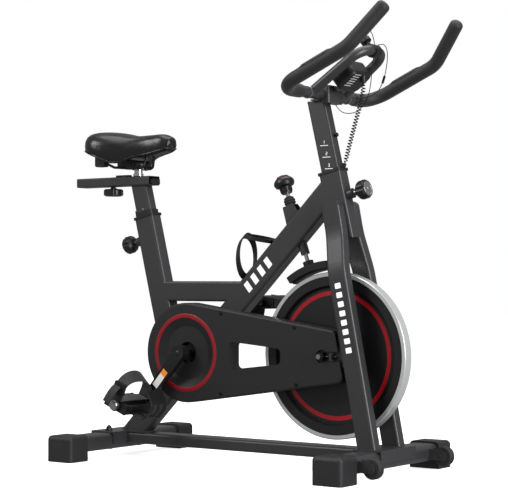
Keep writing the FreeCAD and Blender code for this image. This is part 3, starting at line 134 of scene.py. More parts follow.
def grainy(name, low, high, grain_mm, rough, height, strength=0.5, detail=2.0, **values):
    """A painted or moulded finish with a fine even grain and a faint tint change."""
    made, tree, shader, place = start(name, **values)
    grain = add(tree, "ShaderNodeTexNoise", {"Vector": place, "Scale": per_mm(grain_mm),
                                             "Detail": detail})
    cloud = add(tree, "ShaderNodeTexNoise", {"Vector": place, "Scale": per_mm(60.0), "Detail": 2.0})
    tinted(tree, shader, cloud.outputs[0], low, high)
    rough_and_bump(tree, shader, grain.outputs[0], rough, height, strength)
    return made


def powder_coat():
    # Satin powder coat on steel tube, baked: soft even sheen with a faint orange peel.
    return grainy("powder_coated_steel", "2f2f31", "363638", 1.6, (0.34, 0.46), 0.05, 0.35,
                  Coat_Weight=0.12, Coat_Roughness=0.3)


def black_coat():
    # Black gloss-satin paint on small forged parts.
    return grainy("black_painted_steel", "0f0f10", "161617", 1.2, (0.3, 0.42), 0.04, 0.35)


def moulded_abs():
    # Injection-moulded ABS with a spark-eroded texture: matt black, fine sandy grain.
    return grainy("moulded_abs", "141415", "1b1b1c", 0.9, (0.46, 0.6), 0.05, 0.45)


def moulded_pp():
    # Polypropylene end caps: waxy dark grey with a coarser leather grain.
    made, tree, shader, place = start("moulded_polypropylene")
    cells = add(tree, "ShaderNodeTexVoronoi", {"Vector": place, "Scale": per_mm(1.8)},
                feature="SMOOTH_F1")
    cloud = add(tree, "ShaderNodeTexNoise", {"Vector": place, "Scale": per_mm(45.0), "Detail": 3.0})
    tinted(tree, shader, cloud.outputs[0], "1c1c1e", "262628")
    rough_and_bump(tree, shader, cells.outputs[0], (0.5, 0.64), 0.08, 0.35)
    return made


def filled_nylon():
    # Glass-filled nylon of the pedals, cage and sleeves: near black, slightly glossy skin.
    return grainy("glass_filled_nylon", "0e0e0f", "161617", 0.7, (0.36, 0.52), 0.04, 0.4)


def knob_plastic():
    # Gloss-moulded knob: darker, smooth, with fine swirl marks from handling.
    return grainy("gloss_moulded_plastic", "0d0d0e", "141415", 2.4, (0.3, 0.44), 0.02, 0.25)


def console_abs():
    # Display housing: fine-textured black ABS.
    return grainy("textured_abs_housing", "111112", "18181a", 0.8, (0.4, 0.54), 0.04, 0.4)


def closed_foam():
    # Dipped NBR foam sleeve: dull rubbery skin with tiny closed cells.
    made, tree, shader, place = start("nbr_foam_sleeve", Sheen_Weight=0.15, Sheen_Roughness=0.5)
    cells = add(tree, "ShaderNodeTexVoronoi", {"Vector": place, "Scale": per_mm(0.9)})
    wander = add(tree, "ShaderNodeTexNoise", {"Vector": place, "Scale": per_mm(30.0), "Detail": 3.0})
    tinted(tree, shader, wander.outputs[0], "141415", "1c1c1d")
    rough_and_bump(tree, shader, cells.outputs[0], (0.56, 0.7), 0.12, 0.4)
    return made


def saddle_skin():
    # Polyurethane leather: semi-gloss skin with a pebble grain and soft creases.
    made, tree, shader, place = start("polyurethane_leather", Coat_Weight=0.1, Coat_Roughness=0.22)
    pebble = add(tree, "ShaderNodeTexVoronoi", {"Vector": place, "Scale": per_mm(2.2)},
                 feature="SMOOTH_F1")
    crease = add(tree, "ShaderNodeTexNoise", {"Vector": place, "Scale": per_mm(14.0), "Detail": 4.0})
    height = add(tree, "ShaderNodeMix", {0: 0.3, 2: pebble.outputs[0], 3: crease.outputs[0]})
    tinted(tree, shader, crease.outputs[0], "0a0a0b", "101011")
    rough_and_bump(tree, shader, height.outputs[0], (0.24, 0.4), 0.16, 0.4)
    return made


def piping_vinyl():
    # Extruded vinyl piping round the saddle's skirt: smooth and glossy.
    return grainy("vinyl_piping", "0e0e0f", "151516", 5.0, (0.14, 0.24), 0.02, 0.2, Coat_Weight=0.5,
                  Coat_Roughness=0.12)


def masks(tree, place, centre, edges):
    """Radius from a cross axle, and a 0-1 band for each pair of radii in millimetres."""
    away = add(tree, "ShaderNodeVectorMath", {0: place, 1: centre * MM}, operation="SUBTRACT")
    flat = add(tree, "ShaderNodeVectorMath", {0: away.outputs[0], 1: (1, 0, 1)},
               operation="MULTIPLY")
    length = add(tree, "ShaderNodeVectorMath", {0: flat.outputs[0]}, operation="LENGTH")
    radius = length.outputs["Value"]
    bands = []
    for inner, outer in edges:
        above = add(tree, "ShaderNodeMath", {0: radius, 1: inner * MM}, operation="GREATER_THAN")
        below = add(tree, "ShaderNodeMath", {0: radius, 1: outer * MM}, operation="LESS_THAN")
        both = add(tree, "ShaderNodeMath", {0: above.outputs[0], 1: below.outputs[0]},
                   operation="MULTIPLY")
        bands.append(both.outputs[0])
    return radius, bands


def cast_flywheel():
    # Cast iron: a turned and polished rim, black enamel on the faces and a red painted ring.
    made, tree, shader, place = start("enamelled_cast_iron")
    radius, (rim, ring) = masks(tree, place, WHEEL, (WHEEL_RIM, WHEEL_RING))
    lathe_lines = add(tree, "ShaderNodeTexNoise", {"W": radius, "Scale": per_mm(1.3), "Detail": 3.0},
                      noise_dimensions="1D")
    grain = add(tree, "ShaderNodeTexNoise", {"Vector": place, "Scale": per_mm(2.0), "Detail": 2.0})
    paint = add(tree, "ShaderNodeMix", {0: ring, 6: linear("0f0f10"), 7: linear("b40518")},
                data_type="RGBA")
    colour = add(tree, "ShaderNodeMix", {0: rim, 6: paint.outputs[2], 7: linear("e2e3e4")},
                 data_type="RGBA")
    tree.links.new(colour.outputs[2], shader.inputs["Base Color"])
    shine = add(tree, "ShaderNodeMapRange", {0: rim, 3: 0.0, 4: 0.55})
    tree.links.new(shine.outputs[0], shader.inputs["Metallic"])
    skin = add(tree, "ShaderNodeMapRange", {0: grain.outputs[0], 3: 0.34, 4: 0.48})
    turned = add(tree, "ShaderNodeMapRange", {0: lathe_lines.outputs[0], 3: 0.12, 4: 0.32})
    gloss = add(tree, "ShaderNodeMix", {0: rim, 2: skin.outputs[0], 3: turned.outputs[0]})
    tree.links.new(gloss.outputs[0], shader.inputs["Roughness"])
    height = add(tree, "ShaderNodeMix", {0: rim, 2: grain.outputs[0], 3: lathe_lines.outputs[0]})
    bump = add(tree, "ShaderNodeBump", {"Height": height.outputs[0], "Distance": 0.04 * MM,
                                        "Strength": 0.35})
    tree.links.new(bump.outputs[0], shader.inputs["Normal"])
    return made


def metal(name, low, high, grain_mm, rough, stretch=(1, 1, 1), height=0.02):
    """A bare metal whose fine grain may be drawn out along one way."""
    made, tree, shader, place = start(name, Metallic=1.0)
    drawn = add(tree, "ShaderNodeMapping", {"Vector": place, "Scale": stretch})
    grain = add(tree, "ShaderNodeTexNoise", {"Vector": drawn.outputs[0], "Scale": per_mm(grain_mm),
                                             "Detail": 3.0})
    tinted(tree, shader, grain.outputs[0], low, high)
    rough_and_bump(tree, shader, grain.outputs[0], rough, height, 0.3)
    return made


def plated_stem():
    # The saddle clamp: a chrome-plated stem on a black painted slider.
    made, tree, shader, place = start("chromed_stem_on_painted_slider")
    height = add(tree, "ShaderNodeSeparateXYZ", {0: place}).outputs["Z"]
    plated = add(tree, "ShaderNodeMath", {0: height, 1: STEM_FOOT_Z * MM},
                 operation="GREATER_THAN").outputs[0]
    haze = add(tree, "ShaderNodeTexNoise", {"Vector": place, "Scale": per_mm(3.0), "Detail": 3.0})
    tinted(tree, shader, plated, "141415", "d2d4d6")
    tree.links.new(plated, shader.inputs["Metallic"])
    paint = add(tree, "ShaderNodeMapRange", {0: haze.outputs[0], 3: 0.34, 4: 0.48})
    chrome = add(tree, "ShaderNodeMapRange", {0: haze.outputs[0], 3: 0.08, 4: 0.2})
    gloss = add(tree, "ShaderNodeMix", {0: plated, 2: paint.outputs[0], 3: chrome.outputs[0]})
    tree.links.new(gloss.outputs[0], shader.inputs["Roughness"])
    return made


def rubber(name, low, high, rough):
    """Moulded rubber: dull, with dusty patches."""
    made, tree, shader, place = start(name)
    dust = add(tree, "ShaderNodeTexNoise", {"Vector": place, "Scale": per_mm(9.0), "Detail": 5.0})
    tinted(tree, shader, dust.outputs[0], low, high)
    rough_and_bump(tree, shader, dust.outputs[0], rough, 0.05, 0.4)
    return made


def per_rib(spacing):
    """The wave pattern scale whose bands stand this many millimetres apart."""
    return per_mm(spacing * 6.283) * 2


def webbing():
    # Woven nylon webbing: ribs across the strap every 1.6 mm, drawn coarse enough to show.
    made, tree, shader, place = start("woven_nylon_webbing", Sheen_Weight=0.3, Sheen_Roughness=0.4)
    ribs = add(tree, "ShaderNodeTexWave", {"Vector": place, "Scale": per_rib(1.6),
                                           "Distortion": 0.6, "Detail": 1.0},
               wave_type="BANDS", bands_direction="X")
    cross = add(tree, "ShaderNodeTexWave", {"Vector": place, "Scale": per_rib(2.4),
                                            "Distortion": 0.6, "Detail": 1.0},
                wave_type="BANDS", bands_direction="Y")
    weave = add(tree, "ShaderNodeMath", {0: ribs.outputs["Fac"], 1: cross.outputs["Fac"]},
                operation="MULTIPLY")
    tinted(tree, shader, weave.outputs[0], "1b1b1c", "2f2f30")
    rough_and_bump(tree, shader, weave.outputs[0], (0.62, 0.8), 0.25, 0.6)
    return made


def enamel(name, low, high, rough=(0.28, 0.4), **values):
    """Smooth printed or painted colour."""
    return grainy(name, low, high, 3.0, rough, 0.01, 0.2, **values)


COAT = powder_coat()
BLACK_PAINT = black_coat()
COVER_ABS = moulded_abs()
CAP_PP = moulded_pp()
NYLON = filled_nylon()
KNOB = knob_plastic()
HOUSING = console_abs()
FOAM = closed_foam()
LEATHER = saddle_skin()
PIPING = piping_vinyl()
CAST = cast_flywheel()
# Bright zinc and chrome plate: mirror-like with faint haze.
CHROME = metal("chromed_steel", "c4c6c8", "dcdddf", 6.0, (0.12, 0.22), height=0.005)
# Zinc-plated fasteners and rod: satin grey with drawn lines.
ZINC = metal("zinc_plated_steel", "9a9c9f", "b4b6b8", 1.5, (0.2, 0.36), (1, 1, 0.15))
# Blackened bolts and pins: dark oxide with a dull shine.
OXIDE = metal("black_oxide_steel", "2c2c2e", "3a3a3c", 1.0, (0.3, 0.45))
# Tyres of the transport wheels, belt and boots: dull black rubber.
TYRE = rubber("moulded_rubber", "202021", "2d2d2e", (0.6, 0.78))
BELT = rubber("ribbed_belt_rubber", "151516", "1e1e1f", (0.55, 0.7))
SHEATH = rubber("pvc_cord_sheath", "080809", "0e0e0f", (0.4, 0.52))
WEBBING = webbing()
# Printed and enamelled trims; the white print and the crank's two labels also carry a painted glow.
RED = enamel("red_enamel", "8a0414", "9a0a1a", Coat_Weight=0.12, Coat_Roughness=0.15)
DEEP_RED = enamel("deep_red_plastic", "4c0814", "5c0c1a")
# White print with a painted glow: its emission brightens it beyond what the lamps give.
WHITE = enamel("white_printing_painted_glow", "f4f4f4", "fbfbfb", (0.4, 0.5), Emission_Color=(1, 1, 1, 1),
               Emission_Strength=0.35)
# Paper label with a painted glow from its emission.
PAPER = enamel("paper_label_painted_glow", "dedcd2", "e6e4da", (0.5, 0.62), Emission_Color=(1, 1, 0.95, 1),
               Emission_Strength=0.15)
# Orange label with a painted glow from its emission.
ORANGE = enamel("orange_label_painted_glow", "e8832c", "f09038", (0.45, 0.58), Emission_Color=(1, 0.3, 0.04, 1),
                Emission_Strength=0.2)
# Brushed aluminium discs in the knobs.
SILVER = metal("brushed_aluminium", "a8aaac", "c6c8ca", 1.2, (0.22, 0.4), (1, 0.1, 1))
SCREEN = enamel("tinted_display_window", "0b0f12", "10161a", (0.06, 0.12), Coat_Weight=0.6,
                Coat_Roughness=0.05)
VENT = enamel("pale_vent_mesh", "b9bbbc", "c9cbcc", (0.5, 0.6))

FINISHES = {
    "frame_paint": COAT, "black_paint": BLACK_PAINT, "cover_plastic": COVER_ABS,
    "foot_plastic": CAP_PP, "black_plastic": NYLON, "knob_plastic": KNOB,
    "console_plastic": HOUSING, "foam": FOAM, "saddle_skin": LEATHER, "cast_wheel": CAST,
    "bright_steel": ZINC, "roller_rubber": TYRE, "belt_rubber": BELT, "webbing": WEBBING,
    "cord_sheath": SHEATH,
}
SPECIAL = {"nuts_and_bolts": OXIDE, "bottom_bracket_shell": OXIDE, "crank_spindles": OXIDE,
           "flywheel_pulley": OXIDE, "transport_wheel_right": TYRE,
           "transport_wheel_left": TYRE, "brake_rod": CHROME, "seat_slider": plated_stem()}


def finish_nodes():
    """Every carried-over CAD node takes the finish of its slot."""
    slot_of = {row["node"]: row["material_slot"] for row in frame["record"]["subparts"]}
    for name, node in NODES.items():
        node.data.materials.clear()
        node.data.materials.append(SPECIAL.get(name) or FINISHES[slot_of[name]])


# ------------------------------------------------------------ mesh helpers
def stand(name, data):
    """A new object with this data, in the scene."""
    made = bpy.data.objects.new(name, data)
    bpy.context.scene.collection.objects.link(made)
    return made


def piece(name, verts, faces, material, body, soft_edges=True):
    """A mesh piece, its points given in millimetres, that rides on a body."""
    mesh = bpy.data.meshes.new(name)
    mesh.from_pydata([Vector(v) * MM for v in verts], [], faces)
    work = bmesh.new()
    work.from_mesh(mesh)
    bmesh.ops.remove_doubles(work, verts=work.verts, dist=1e-7)
    bmesh.ops.recalc_face_normals(work, faces=work.faces)
    work.to_mesh(mesh)
    work.free()
    mesh.materials.append(material)
    made = stand(name, mesh)
    if soft_edges:
        for face in mesh.polygons:
            face.use_smooth = True
        mesh.set_sharp_from_angle(angle=math.radians(38))
    if body:
        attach(made, body)
    return made


def cross_frame(way):
    """Two unit ways square to a way."""
    way = Vector(way).normalized()
    side = way.cross(Vector((0, 1, 0)))
    if side.length < 0.1:
        side = Vector((1, 0, 0))
    side.normalize()
    return side, way.cross(side).normalized()


def sides(rings, count):
    """Side faces between rings of points that follow one another."""
    return [(r * count + i, r * count + (i + 1) % count, (r + 1) * count + (i + 1) % count,
             (r + 1) * count + i) for r in range(rings - 1) for i in range(count)]


def ends(rings, count):
    """The faces that close the first and the last ring."""
    return [tuple(range(count))[::-1], tuple((rings - 1) * count + i for i in range(count))]


def turned(name, profile, centre, way, material, body, slot, steps=48):
    """A profile of (radius, along) pairs turned about an axis."""
    way = Vector(way).normalized()
    side, up = cross_frame(way)
    verts = [centre + way * along + side * a + up * b
             for radius, along in profile for a, b in circle(radius, steps)]
    faces = sides(len(profile), steps)
    if profile[0] != profile[-1]:
        caps = zip((profile[0], profile[-1]), ends(len(profile), steps))
        faces += [cap for (radius, _), cap in caps if radius > 1e-6]
    return piece(name, verts, faces, material, body)


def follow(points, ring_at, closed_ends=True):
    """Rings of points carried along a path without twisting; ring_at gives each ring."""
    verts = []
    way = (points[1] - points[0]).normalized()
    side, up = cross_frame(way)
    for i, point in enumerate(points):
        ahead = points[min(i + 1, len(points) - 1)] - points[max(i - 1, 0)]
        fresh = ahead.normalized()
        turn = way.rotation_difference(fresh)
        side = turn @ side
        up = turn @ up
        way = fresh
        verts.extend(point + side * a + up * b for a, b in ring_at(i / (len(points) - 1)))
    count = len(verts) // len(points)
    faces = sides(len(points), count)
    return verts, faces + ends(len(points), count) if closed_ends else faces


def circle(radius, sides=20):
    return [(radius * math.cos(2 * math.pi * i / sides), radius * math.sin(2 * math.pi * i / sides))
            for i in range(sides)]


def round_bar(name, points, radius, material, body, sides=20):
    verts, faces = follow(points, lambda t: circle(radius, sides))
    return piece(name, verts, faces, material, body)


def rounded_path(corners, radii, step=5.0):
    """Points along straight bars joined by tangent bends."""
    out = [corners[0]]
    for i in range(1, len(corners) - 1):
        a = (corners[i - 1] - corners[i]).normalized()
        b = (corners[i + 1] - corners[i]).normalized()
        half = a.angle(b) / 2
        radius = radii[i - 1]
        centre = corners[i] + (a + b).normalized() * (radius / math.sin(half))
        into = corners[i] + a * (radius / math.tan(half))
        leave = corners[i] + b * (radius / math.tan(half))
        count = 12
        first = (into - centre).normalized()
        last = (leave - centre).normalized()
        for k in range(count + 1):
            out.append(centre + first.slerp(last, k / count).normalized() * radius)
    out.append(corners[-1])
    dense = [out[0]]
    for a, b in zip(out, out[1:]):
        n = max(1, int((b - a).length / step))
        dense.extend(a.lerp(b, (k + 1) / n) for k in range(n))
    return dense


def slab(name, outline, lift, thick, origin, u_way, v_way, material, body, edge=0.0):
    """A thin plate with a flat outline of (u, v) pairs, lying on a surface."""
    u_way = Vector(u_way).normalized()
    v_way = Vector(v_way).normalized()
    out = u_way.cross(v_way).normalized()
    n = len(outline)
    verts = []
    cu = sum(p[0] for p in outline) / n
    cv = sum(p[1] for p in outline) / n
    for level, shrink in ((lift, 0.0), (lift + thick - edge, 0.0), (lift + thick, edge)):
        for u, v in outline:
            far = math.hypot(u - cu, v - cv) or 1.0
            k = max(0.0, 1 - shrink / far)
            verts.append(origin + u_way * (cu + (u - cu) * k) + v_way * (cv + (v - cv) * k)
                         + out * level)
    return piece(name, verts, ends(3, n) + sides(3, n), material, body)


def round_rect(width, height, corner, steps=5):
    out = []
    for cx, cy, base in ((1, 1, 0), (-1, 1, 90), (-1, -1, 180), (1, -1, 270)):
        for i in range(steps + 1):
            turn = math.radians(base + 90 * i / steps)
            out.append((cx * (width / 2 - corner) + corner * math.cos(turn),
                        cy * (height / 2 - corner) + corner * math.sin(turn)))
    return out


# ------------------------------------------------------------ camera and light
ROOM_LIGHT = 0.3
CAMERA_PLACE = (2.40565, -3.25515, 0.46392)
CAMERA_TURN = math.radians(35.987)
CAMERA_TILT = math.radians(0.963)
CAMERA_LENS = 114.94
FLOOR_REACH = 14.0


def aim(made, place, way):
    """Put a light or the camera at a place, in metres, looking one way."""
    made.location = place
    made.rotation_euler = way.to_track_quat("-Z", "Y").to_euler()


def camera():
    data = bpy.data.cameras.new("studio_camera")
    data.sensor_width = 36.0
    data.lens = CAMERA_LENS
    turn, tilt = CAMERA_TURN, CAMERA_TILT
    way = Vector((-math.sin(turn) * math.cos(tilt), math.cos(turn) * math.cos(tilt), math.sin(tilt)))
    made = stand("studio_camera", data)
    aim(made, CAMERA_PLACE, way)
    bpy.context.scene.camera = made


def softbox(name, place, target, size, power):
    data = bpy.data.lights.new(name, "AREA")
    data.shape = "RECTANGLE"
    data.size, data.size_y = size
    data.energy = power
    aim(stand(name, data), place, Vector(target) - Vector(place))


def studio():
    world = bpy.data.worlds.new("studio")
    world.use_nodes = True
    tree = world.node_tree
    back = tree.nodes["Background"]
    seen = add(tree, "ShaderNodeLightPath").outputs["Is Camera Ray"]
    level = add(tree, "ShaderNodeMapRange", {0: seen, 3: ROOM_LIGHT, 4: 1.0})
    tree.links.new(level.outputs[0], back.inputs["Strength"])
    back.inputs["Color"].default_value = (1, 1, 1, 1)
    bpy.context.scene.world = world
    softbox("front_panel", (3.6, -0.9, 1.2), (0.1, 0, 0.5), (1.3, 2.6), 120)
    softbox("high_left", (-1.6, -2.6, 2.6), (0, 0, 0.5), (1.6, 1.6), 60)
    softbox("top_panel", (0.2, 0.2, 2.8), (0, 0, 0.4), (2.4, 2.4), 45)
    mesh = bpy.data.meshes.new("studio_floor")
    corners = ((-1, -1), (1, -1), (1, 1), (-1, 1))
    mesh.from_pydata([(FLOOR_REACH * x, FLOOR_REACH * y, 0) for x, y in corners], [], [(0, 1, 2, 3)])
    floor = stand("studio_floor", mesh)
    # Seamless white paper sweep.
    paper, tree, shader, _ = start("white_paper_sweep", Roughness=0.9)
    shader.inputs["Base Color"].default_value = (0.93, 0.93, 0.93, 1)
    shader.inputs["Emission Color"].default_value = (1, 1, 1, 1)
    shader.inputs["Emission Strength"].default_value = 0.8
    mesh.materials.append(paper)
    floor.visible_diffuse = False
    floor.visible_glossy = False
    view = bpy.context.scene.view_settings
    view.view_transform = "Standard"


# ------------------------------------------------------------ cords
CURLY_ROUTE = ((357.0, 8.0, 926.0), (358.0, 7.0, 911.0), (355.5, 5.0, 893.0), (350.5, 3.0, 870.0),
               (343.5, 0.0, 844.0), (334.0, -1.0, 812.0), (323.5, -1.0, 779.0), (315.0, -0.5, 751.0),
               (309.2, 0.0, 735.5))
LEFT_LEAD_ROUTE = ((398.0, 8.0, 1012.0), (404.0, 24.0, 1018.0), (404.0, 42.0, 1002.0),
                   (392.0, 58.0, 970.0), (376.0, 70.0, 938.0), (356.0, 82.0, 915.0),
                   (330.0, 96.0, 906.0), (300.0, 106.0, 903.0), (273.2, 108.0, 902.0))
RIGHT_LEAD_ROUTE = ((398.0, -8.0, 1012.0), (405.0, -24.0, 1028.0), (410.0, -48.0, 1040.0),
                    (420.0, -76.0, 1036.0), (436.0, -106.0, 1024.0), (452.0, -138.0, 1019.0),
                    (469.84, -169.79, 1017.0))
CONSOLE_LEAD_ROUTE = ((277.0, 10.0, 879.0), (284.0, 13.0, 865.0), (304.0, 16.0, 855.0),
                      (336.0, 16.0, 858.0), (361.0, 14.0, 880.0), (374.0, 12.0, 912.0),
                      (380.0, 8.0, 946.0), (388.5, 2.0, 981.0))
LEAD_RADIUS = 1.0
COIL_RADIUS = 4.6
COIL_WIRE = 1.35
COIL_PITCH = 7.2


def line_along(route):
    """The smooth line of one open NURBS spline with the route's control points, in millimetres."""
    data = bpy.data.curves.new("route", "CURVE")
    data.dimensions = "3D"
    data.resolution_u = 12
    spline = data.splines.new("NURBS")
    spline.points.add(len(route) - 1)
    for point, place in zip(spline.points, route):
        point.co = (*(Vector(place) * MM), 1.0)
    spline.order_u = 3
    spline.use_endpoint_u = True
    curve = stand("route", data)
    bpy.context.view_layer.update()
    mesh = bpy.data.meshes.new_from_object(curve)
    points = [v.co / MM for v in mesh.vertices]
    bpy.data.meshes.remove(mesh)
    bpy.data.objects.remove(curve)
    return points


def length_of(points):
    return sum((b - a).length for a, b in zip(points, points[1:]))


def lead(name, route, node):
    """A thin lead that hangs between two holes, in place of the CAD node, which it hides."""
    line = line_along(route)
    made = round_bar(name, line, LEAD_RADIUS, SHEATH, "handlebar", 10)
    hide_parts(node)


def cords():
    """Two pulse leads, the display's lead and the coiled lead down to the column."""
    line = line_along(CURLY_ROUTE)
    total = length_of(line)
    turns = round(total / COIL_PITCH)
    per_turn = 16
    walked = [0.0]
    for a, b in zip(line, line[1:]):
        walked.append(walked[-1] + (b - a).length)
    helix = []
    steps = turns * per_turn
    k = 0
    way = (line[1] - line[0]).normalized()
    side, up = cross_frame(way)
    for i in range(steps + 1):
        at = total * i / steps
        while k < len(line) - 2 and walked[k + 1] < at:
            k += 1
        share = (at - walked[k]) / (walked[k + 1] - walked[k])
        point = line[k].lerp(line[k + 1], share)
        fresh = (line[k + 1] - line[k]).normalized()
        turn = way.rotation_difference(fresh)
        side, up, way = turn @ side, turn @ up, fresh
        angle = 2 * math.pi * i / per_turn
        ease = min(1.0, at / 9.0, (total - at) / 9.0)
        radius = COIL_RADIUS * ease
        helix.append(point + side * (radius * math.cos(angle)) + up * (radius * math.sin(angle)))
    verts, faces = follow(helix, lambda t: circle(COIL_WIRE, 8))
    coil = piece("curly_lead", verts, faces, SHEATH, None)
    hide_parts("curly_cord")
    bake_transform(coil)

    line = line_along(LEFT_LEAD_ROUTE)
    middle = len(line) // 2
    way = (line[middle + 1] - line[middle - 1]).normalized()
    plug = turned("inline_plug", ((1.1, -11), (2.6, -10), (3.0, -8), (3.0, -1), (2.3, 0), (3.0, 1),
                                  (3.0, 8), (2.6, 10), (1.1, 11)), line[middle], way, NYLON,
                  "handlebar", "cord_sheath", 20)
    lead("pulse_lead_l", LEFT_LEAD_ROUTE, "pulse_lead_left")
    lead("pulse_lead_r", RIGHT_LEAD_ROUTE, "pulse_lead_right")
    lead("display_lead", CONSOLE_LEAD_ROUTE, "console_lead")


# ------------------------------------------------------------ saddle
SADDLE_SECTIONS = ((-463.0, 52.0, 836.0, 794.0), (-450.0, 80.0, 845.0, 789.0),
                   (-418.0, 98.0, 848.0, 777.0), (-376.0, 89.0, 843.0, 765.0),
                   (-330.0, 60.0, 833.0, 768.0), (-284.0, 38.0, 834.0, 776.0),
                   (-240.0, 30.0, 835.0, 786.0), (-218.0, 20.0, 825.0, 796.0))
SKIRT_DROP = 11.0
SKIRT_DROP_X = -352.0
SKIRT_DROP_HALF = 46.0
SKIN_CELL = 5.0
SKIN_SWELL = 2.2


def skirt_drop(x):
    """How far the padded side hangs below its foam, most at the thighs."""
    share = min(1.0, abs(x - SKIRT_DROP_X) / SKIRT_DROP_HALF)
    return SKIRT_DROP * (0.5 + 0.5 * math.cos(math.pi * share))


def spline_value(rows, column, x):
    """Smooth value of one column of the section table at a place along X."""
    for k in range(len(rows) - 1):
        if x <= rows[k + 1][0]:
            break
    p1, p2 = rows[k], rows[k + 1]
    p0 = rows[max(0, k - 1)]
    p3 = rows[min(len(rows) - 1, k + 2)]
    t = (x - p1[0]) / (p2[0] - p1[0])
    m1 = (p2[column] - p0[column]) / (p2[0] - p0[0]) * (p2[0] - p1[0])
    m2 = (p3[column] - p1[column]) / (p3[0] - p1[0]) * (p2[0] - p1[0])
    return ((2 * t ** 3 - 3 * t ** 2 + 1) * p1[column] + (t ** 3 - 2 * t ** 2 + t) * m1
            + (3 * t ** 2 - 2 * t ** 3) * p2[column] + (t ** 3 - t ** 2) * m2)


def saddle_size(x):
    """Half width, top and low edge of the saddle at a place along X."""
    return tuple(spline_value(SADDLE_SECTIONS, column, x) for column in (1, 2, 3))


def saddle_ring(x, inset=0.0):
    """The saddle's cross outline at x: domed top, rounded skirt and a hollow underside."""
    half, top, low = saddle_size(x)
    half -= inset
    top -= inset
    rise = top - low
    drop = skirt_drop(x)
    pairs = ((0, top), (0.25 * half, top - 0.01 * rise), (0.5 * half, top - 0.04 * rise),
             (0.72 * half, top - 0.11 * rise), (0.88 * half, top - 0.24 * rise),
             (0.97 * half, top - 0.42 * rise), (half, low + 0.36 * rise - 0.5 * drop),
             (0.985 * half, low + 0.16 * rise - 0.9 * drop), (0.93 * half, low + 0.03 * rise - drop),
             (0.86 * half, low + 0.02 * rise - 0.9 * drop),
             (0.74 * half, low + 0.12 * rise), (0.5 * half, low + 0.22 * rise),
             (0, low + 0.24 * rise))
    ring = [Vector((x, y, z)) for y, z in pairs]
    ring += [Vector((x, -y, z)) for y, z in reversed(pairs[1:-1])]
    return ring


def saddle_stations(steps):
    """Places along the saddle, closer together towards its two ends."""
    first, last = SADDLE_SECTIONS[0][0] + 6.0, SADDLE_SECTIONS[-1][0] - 8.0
    return [first + (last - first) * (0.5 - 0.5 * math.cos(math.pi * i / steps))
            for i in range(steps + 1)]


def saddle():
    """The padded cushion: a blown-up skin over foam, with piping round its skirt."""
    stations = saddle_stations(30)
    verts = [point for x in stations for point in saddle_ring(x, 1.5)]
    count = len(verts) // len(stations)
    faces = sides(len(stations), count)
    # Rounded ends: three shrinking rings and a middle point at each end.
    for ring_start, push in ((0, -1), ((len(stations) - 1) * count, 1)):
        ring = [Vector(v) for v in verts[ring_start:ring_start + count]]
        centre = sum(ring, Vector()) / count
        before = ring_start
        for scale, out in ((0.96, 4.0), (0.82, 8.0), (0.52, 11.0)):
            base = len(verts)
            verts.extend(centre + (v - centre) * scale + Vector((push * out, 0, 0)) for v in ring)
            for i in range(count):
                j = (i + 1) % count
                faces.append((before + i, before + j, base + j, base + i))
            before = base
        tip = len(verts)
        verts.append(centre + Vector((push * 12.0, 0, 0)))
        for i in range(count):
            faces.append((before + i, before + (i + 1) % count, tip))
    cushion = piece("saddle_pad", verts, faces, LEATHER, None)
    for edge in cushion.data.edges:
        edge.use_edge_sharp = False
    swell(cushion)
    smooth = cushion.modifiers.new("skin", "SUBSURF")
    smooth.levels = smooth.render_levels = 1
    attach(cushion, "saddle")
    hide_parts("saddle_cushion")
    piping()


def swell(cushion):
    """Blow the cushion's skin out a little over its foam, with its skirt held still."""
    remesh = cushion.modifiers.new("cells", "REMESH")
    remesh.mode = "VOXEL"
    remesh.voxel_size = SKIN_CELL * MM
    bpy.context.view_layer.update()
    graph = bpy.context.evaluated_depsgraph_get()
    mesh = bpy.data.meshes.new_from_object(cushion.evaluated_get(graph))
    cushion.modifiers.clear()
    cushion.data = mesh
    before = [v.co.copy() for v in mesh.vertices]
    held = cushion.vertex_groups.new(name="held")
    for v in mesh.vertices:
        x = v.co.x / MM
        x = min(max(x, SADDLE_SECTIONS[0][0]), SADDLE_SECTIONS[-1][0])
        _, top, low = saddle_size(x)
        share = (v.co.z / MM - low) / (top - low)
        held.add([v.index], 1.0 if share < 0.3 else 0.0, "REPLACE")
    cloth = cushion.modifiers.new("skin_over_foam", "CLOTH")
    settings = cloth.settings
    settings.use_pressure = True
    settings.uniform_pressure_force = 4.0
    settings.effector_weights.gravity = 0.0
    settings.vertex_group_mass = "held"
    scene = bpy.context.scene
    for number in range(1, 21):
        scene.frame_set(number)
    shaped = cushion.evaluated_get(bpy.context.evaluated_depsgraph_get()).to_mesh()
    cap = SKIN_SWELL * MM
    after = []
    for old, v in zip(before, shaped.vertices):
        move = v.co - old
        if move.length > cap:
            move = move.normalized() * cap
        after.append(old + move)
    cushion.modifiers.clear()
    for v, place in zip(mesh.vertices, after):
        v.co = place
    scene.frame_set(1)
    for face in mesh.polygons:
        face.use_smooth = True
    if not mesh.materials:
        mesh.materials.append(LEATHER)


def piping():
    """A glossy cord sewn round the skirt's lower edge."""
    right = []
    for x in saddle_stations(40):
        half, top, low = saddle_size(x)
        right.append(Vector((x, -0.965 * half, low + 0.1 * (top - low) - skirt_drop(x))))
    for end, push in ((0, -1), (-1, 1)):
        edge = right[end].copy()
        bend = [Vector((edge.x + push * 9.0 * math.sin(math.radians(a)),
                        edge.y * math.cos(math.radians(a)), edge.z)) for a in (20, 40, 60, 78)]
        right = bend[::-1] + right if push < 0 else right + bend
    loop = right + [Vector((p.x, -p.y, p.z)) for p in reversed(right)]
    closed = loop + [loop[0], loop[1]]
    verts, faces = follow(closed[:-1], lambda t: circle(1.7, 10), closed_ends=False)
    piece("saddle_piping", verts, faces, PIPING, "saddle")


# ------------------------------------------------------------ handlebar dressing
def bar_corners(side):
    return [Vector((259, side * 200, 902)), Vector((444, side * 198, 981)),
            Vector((520.5, side * 167.5, 1069.5))]


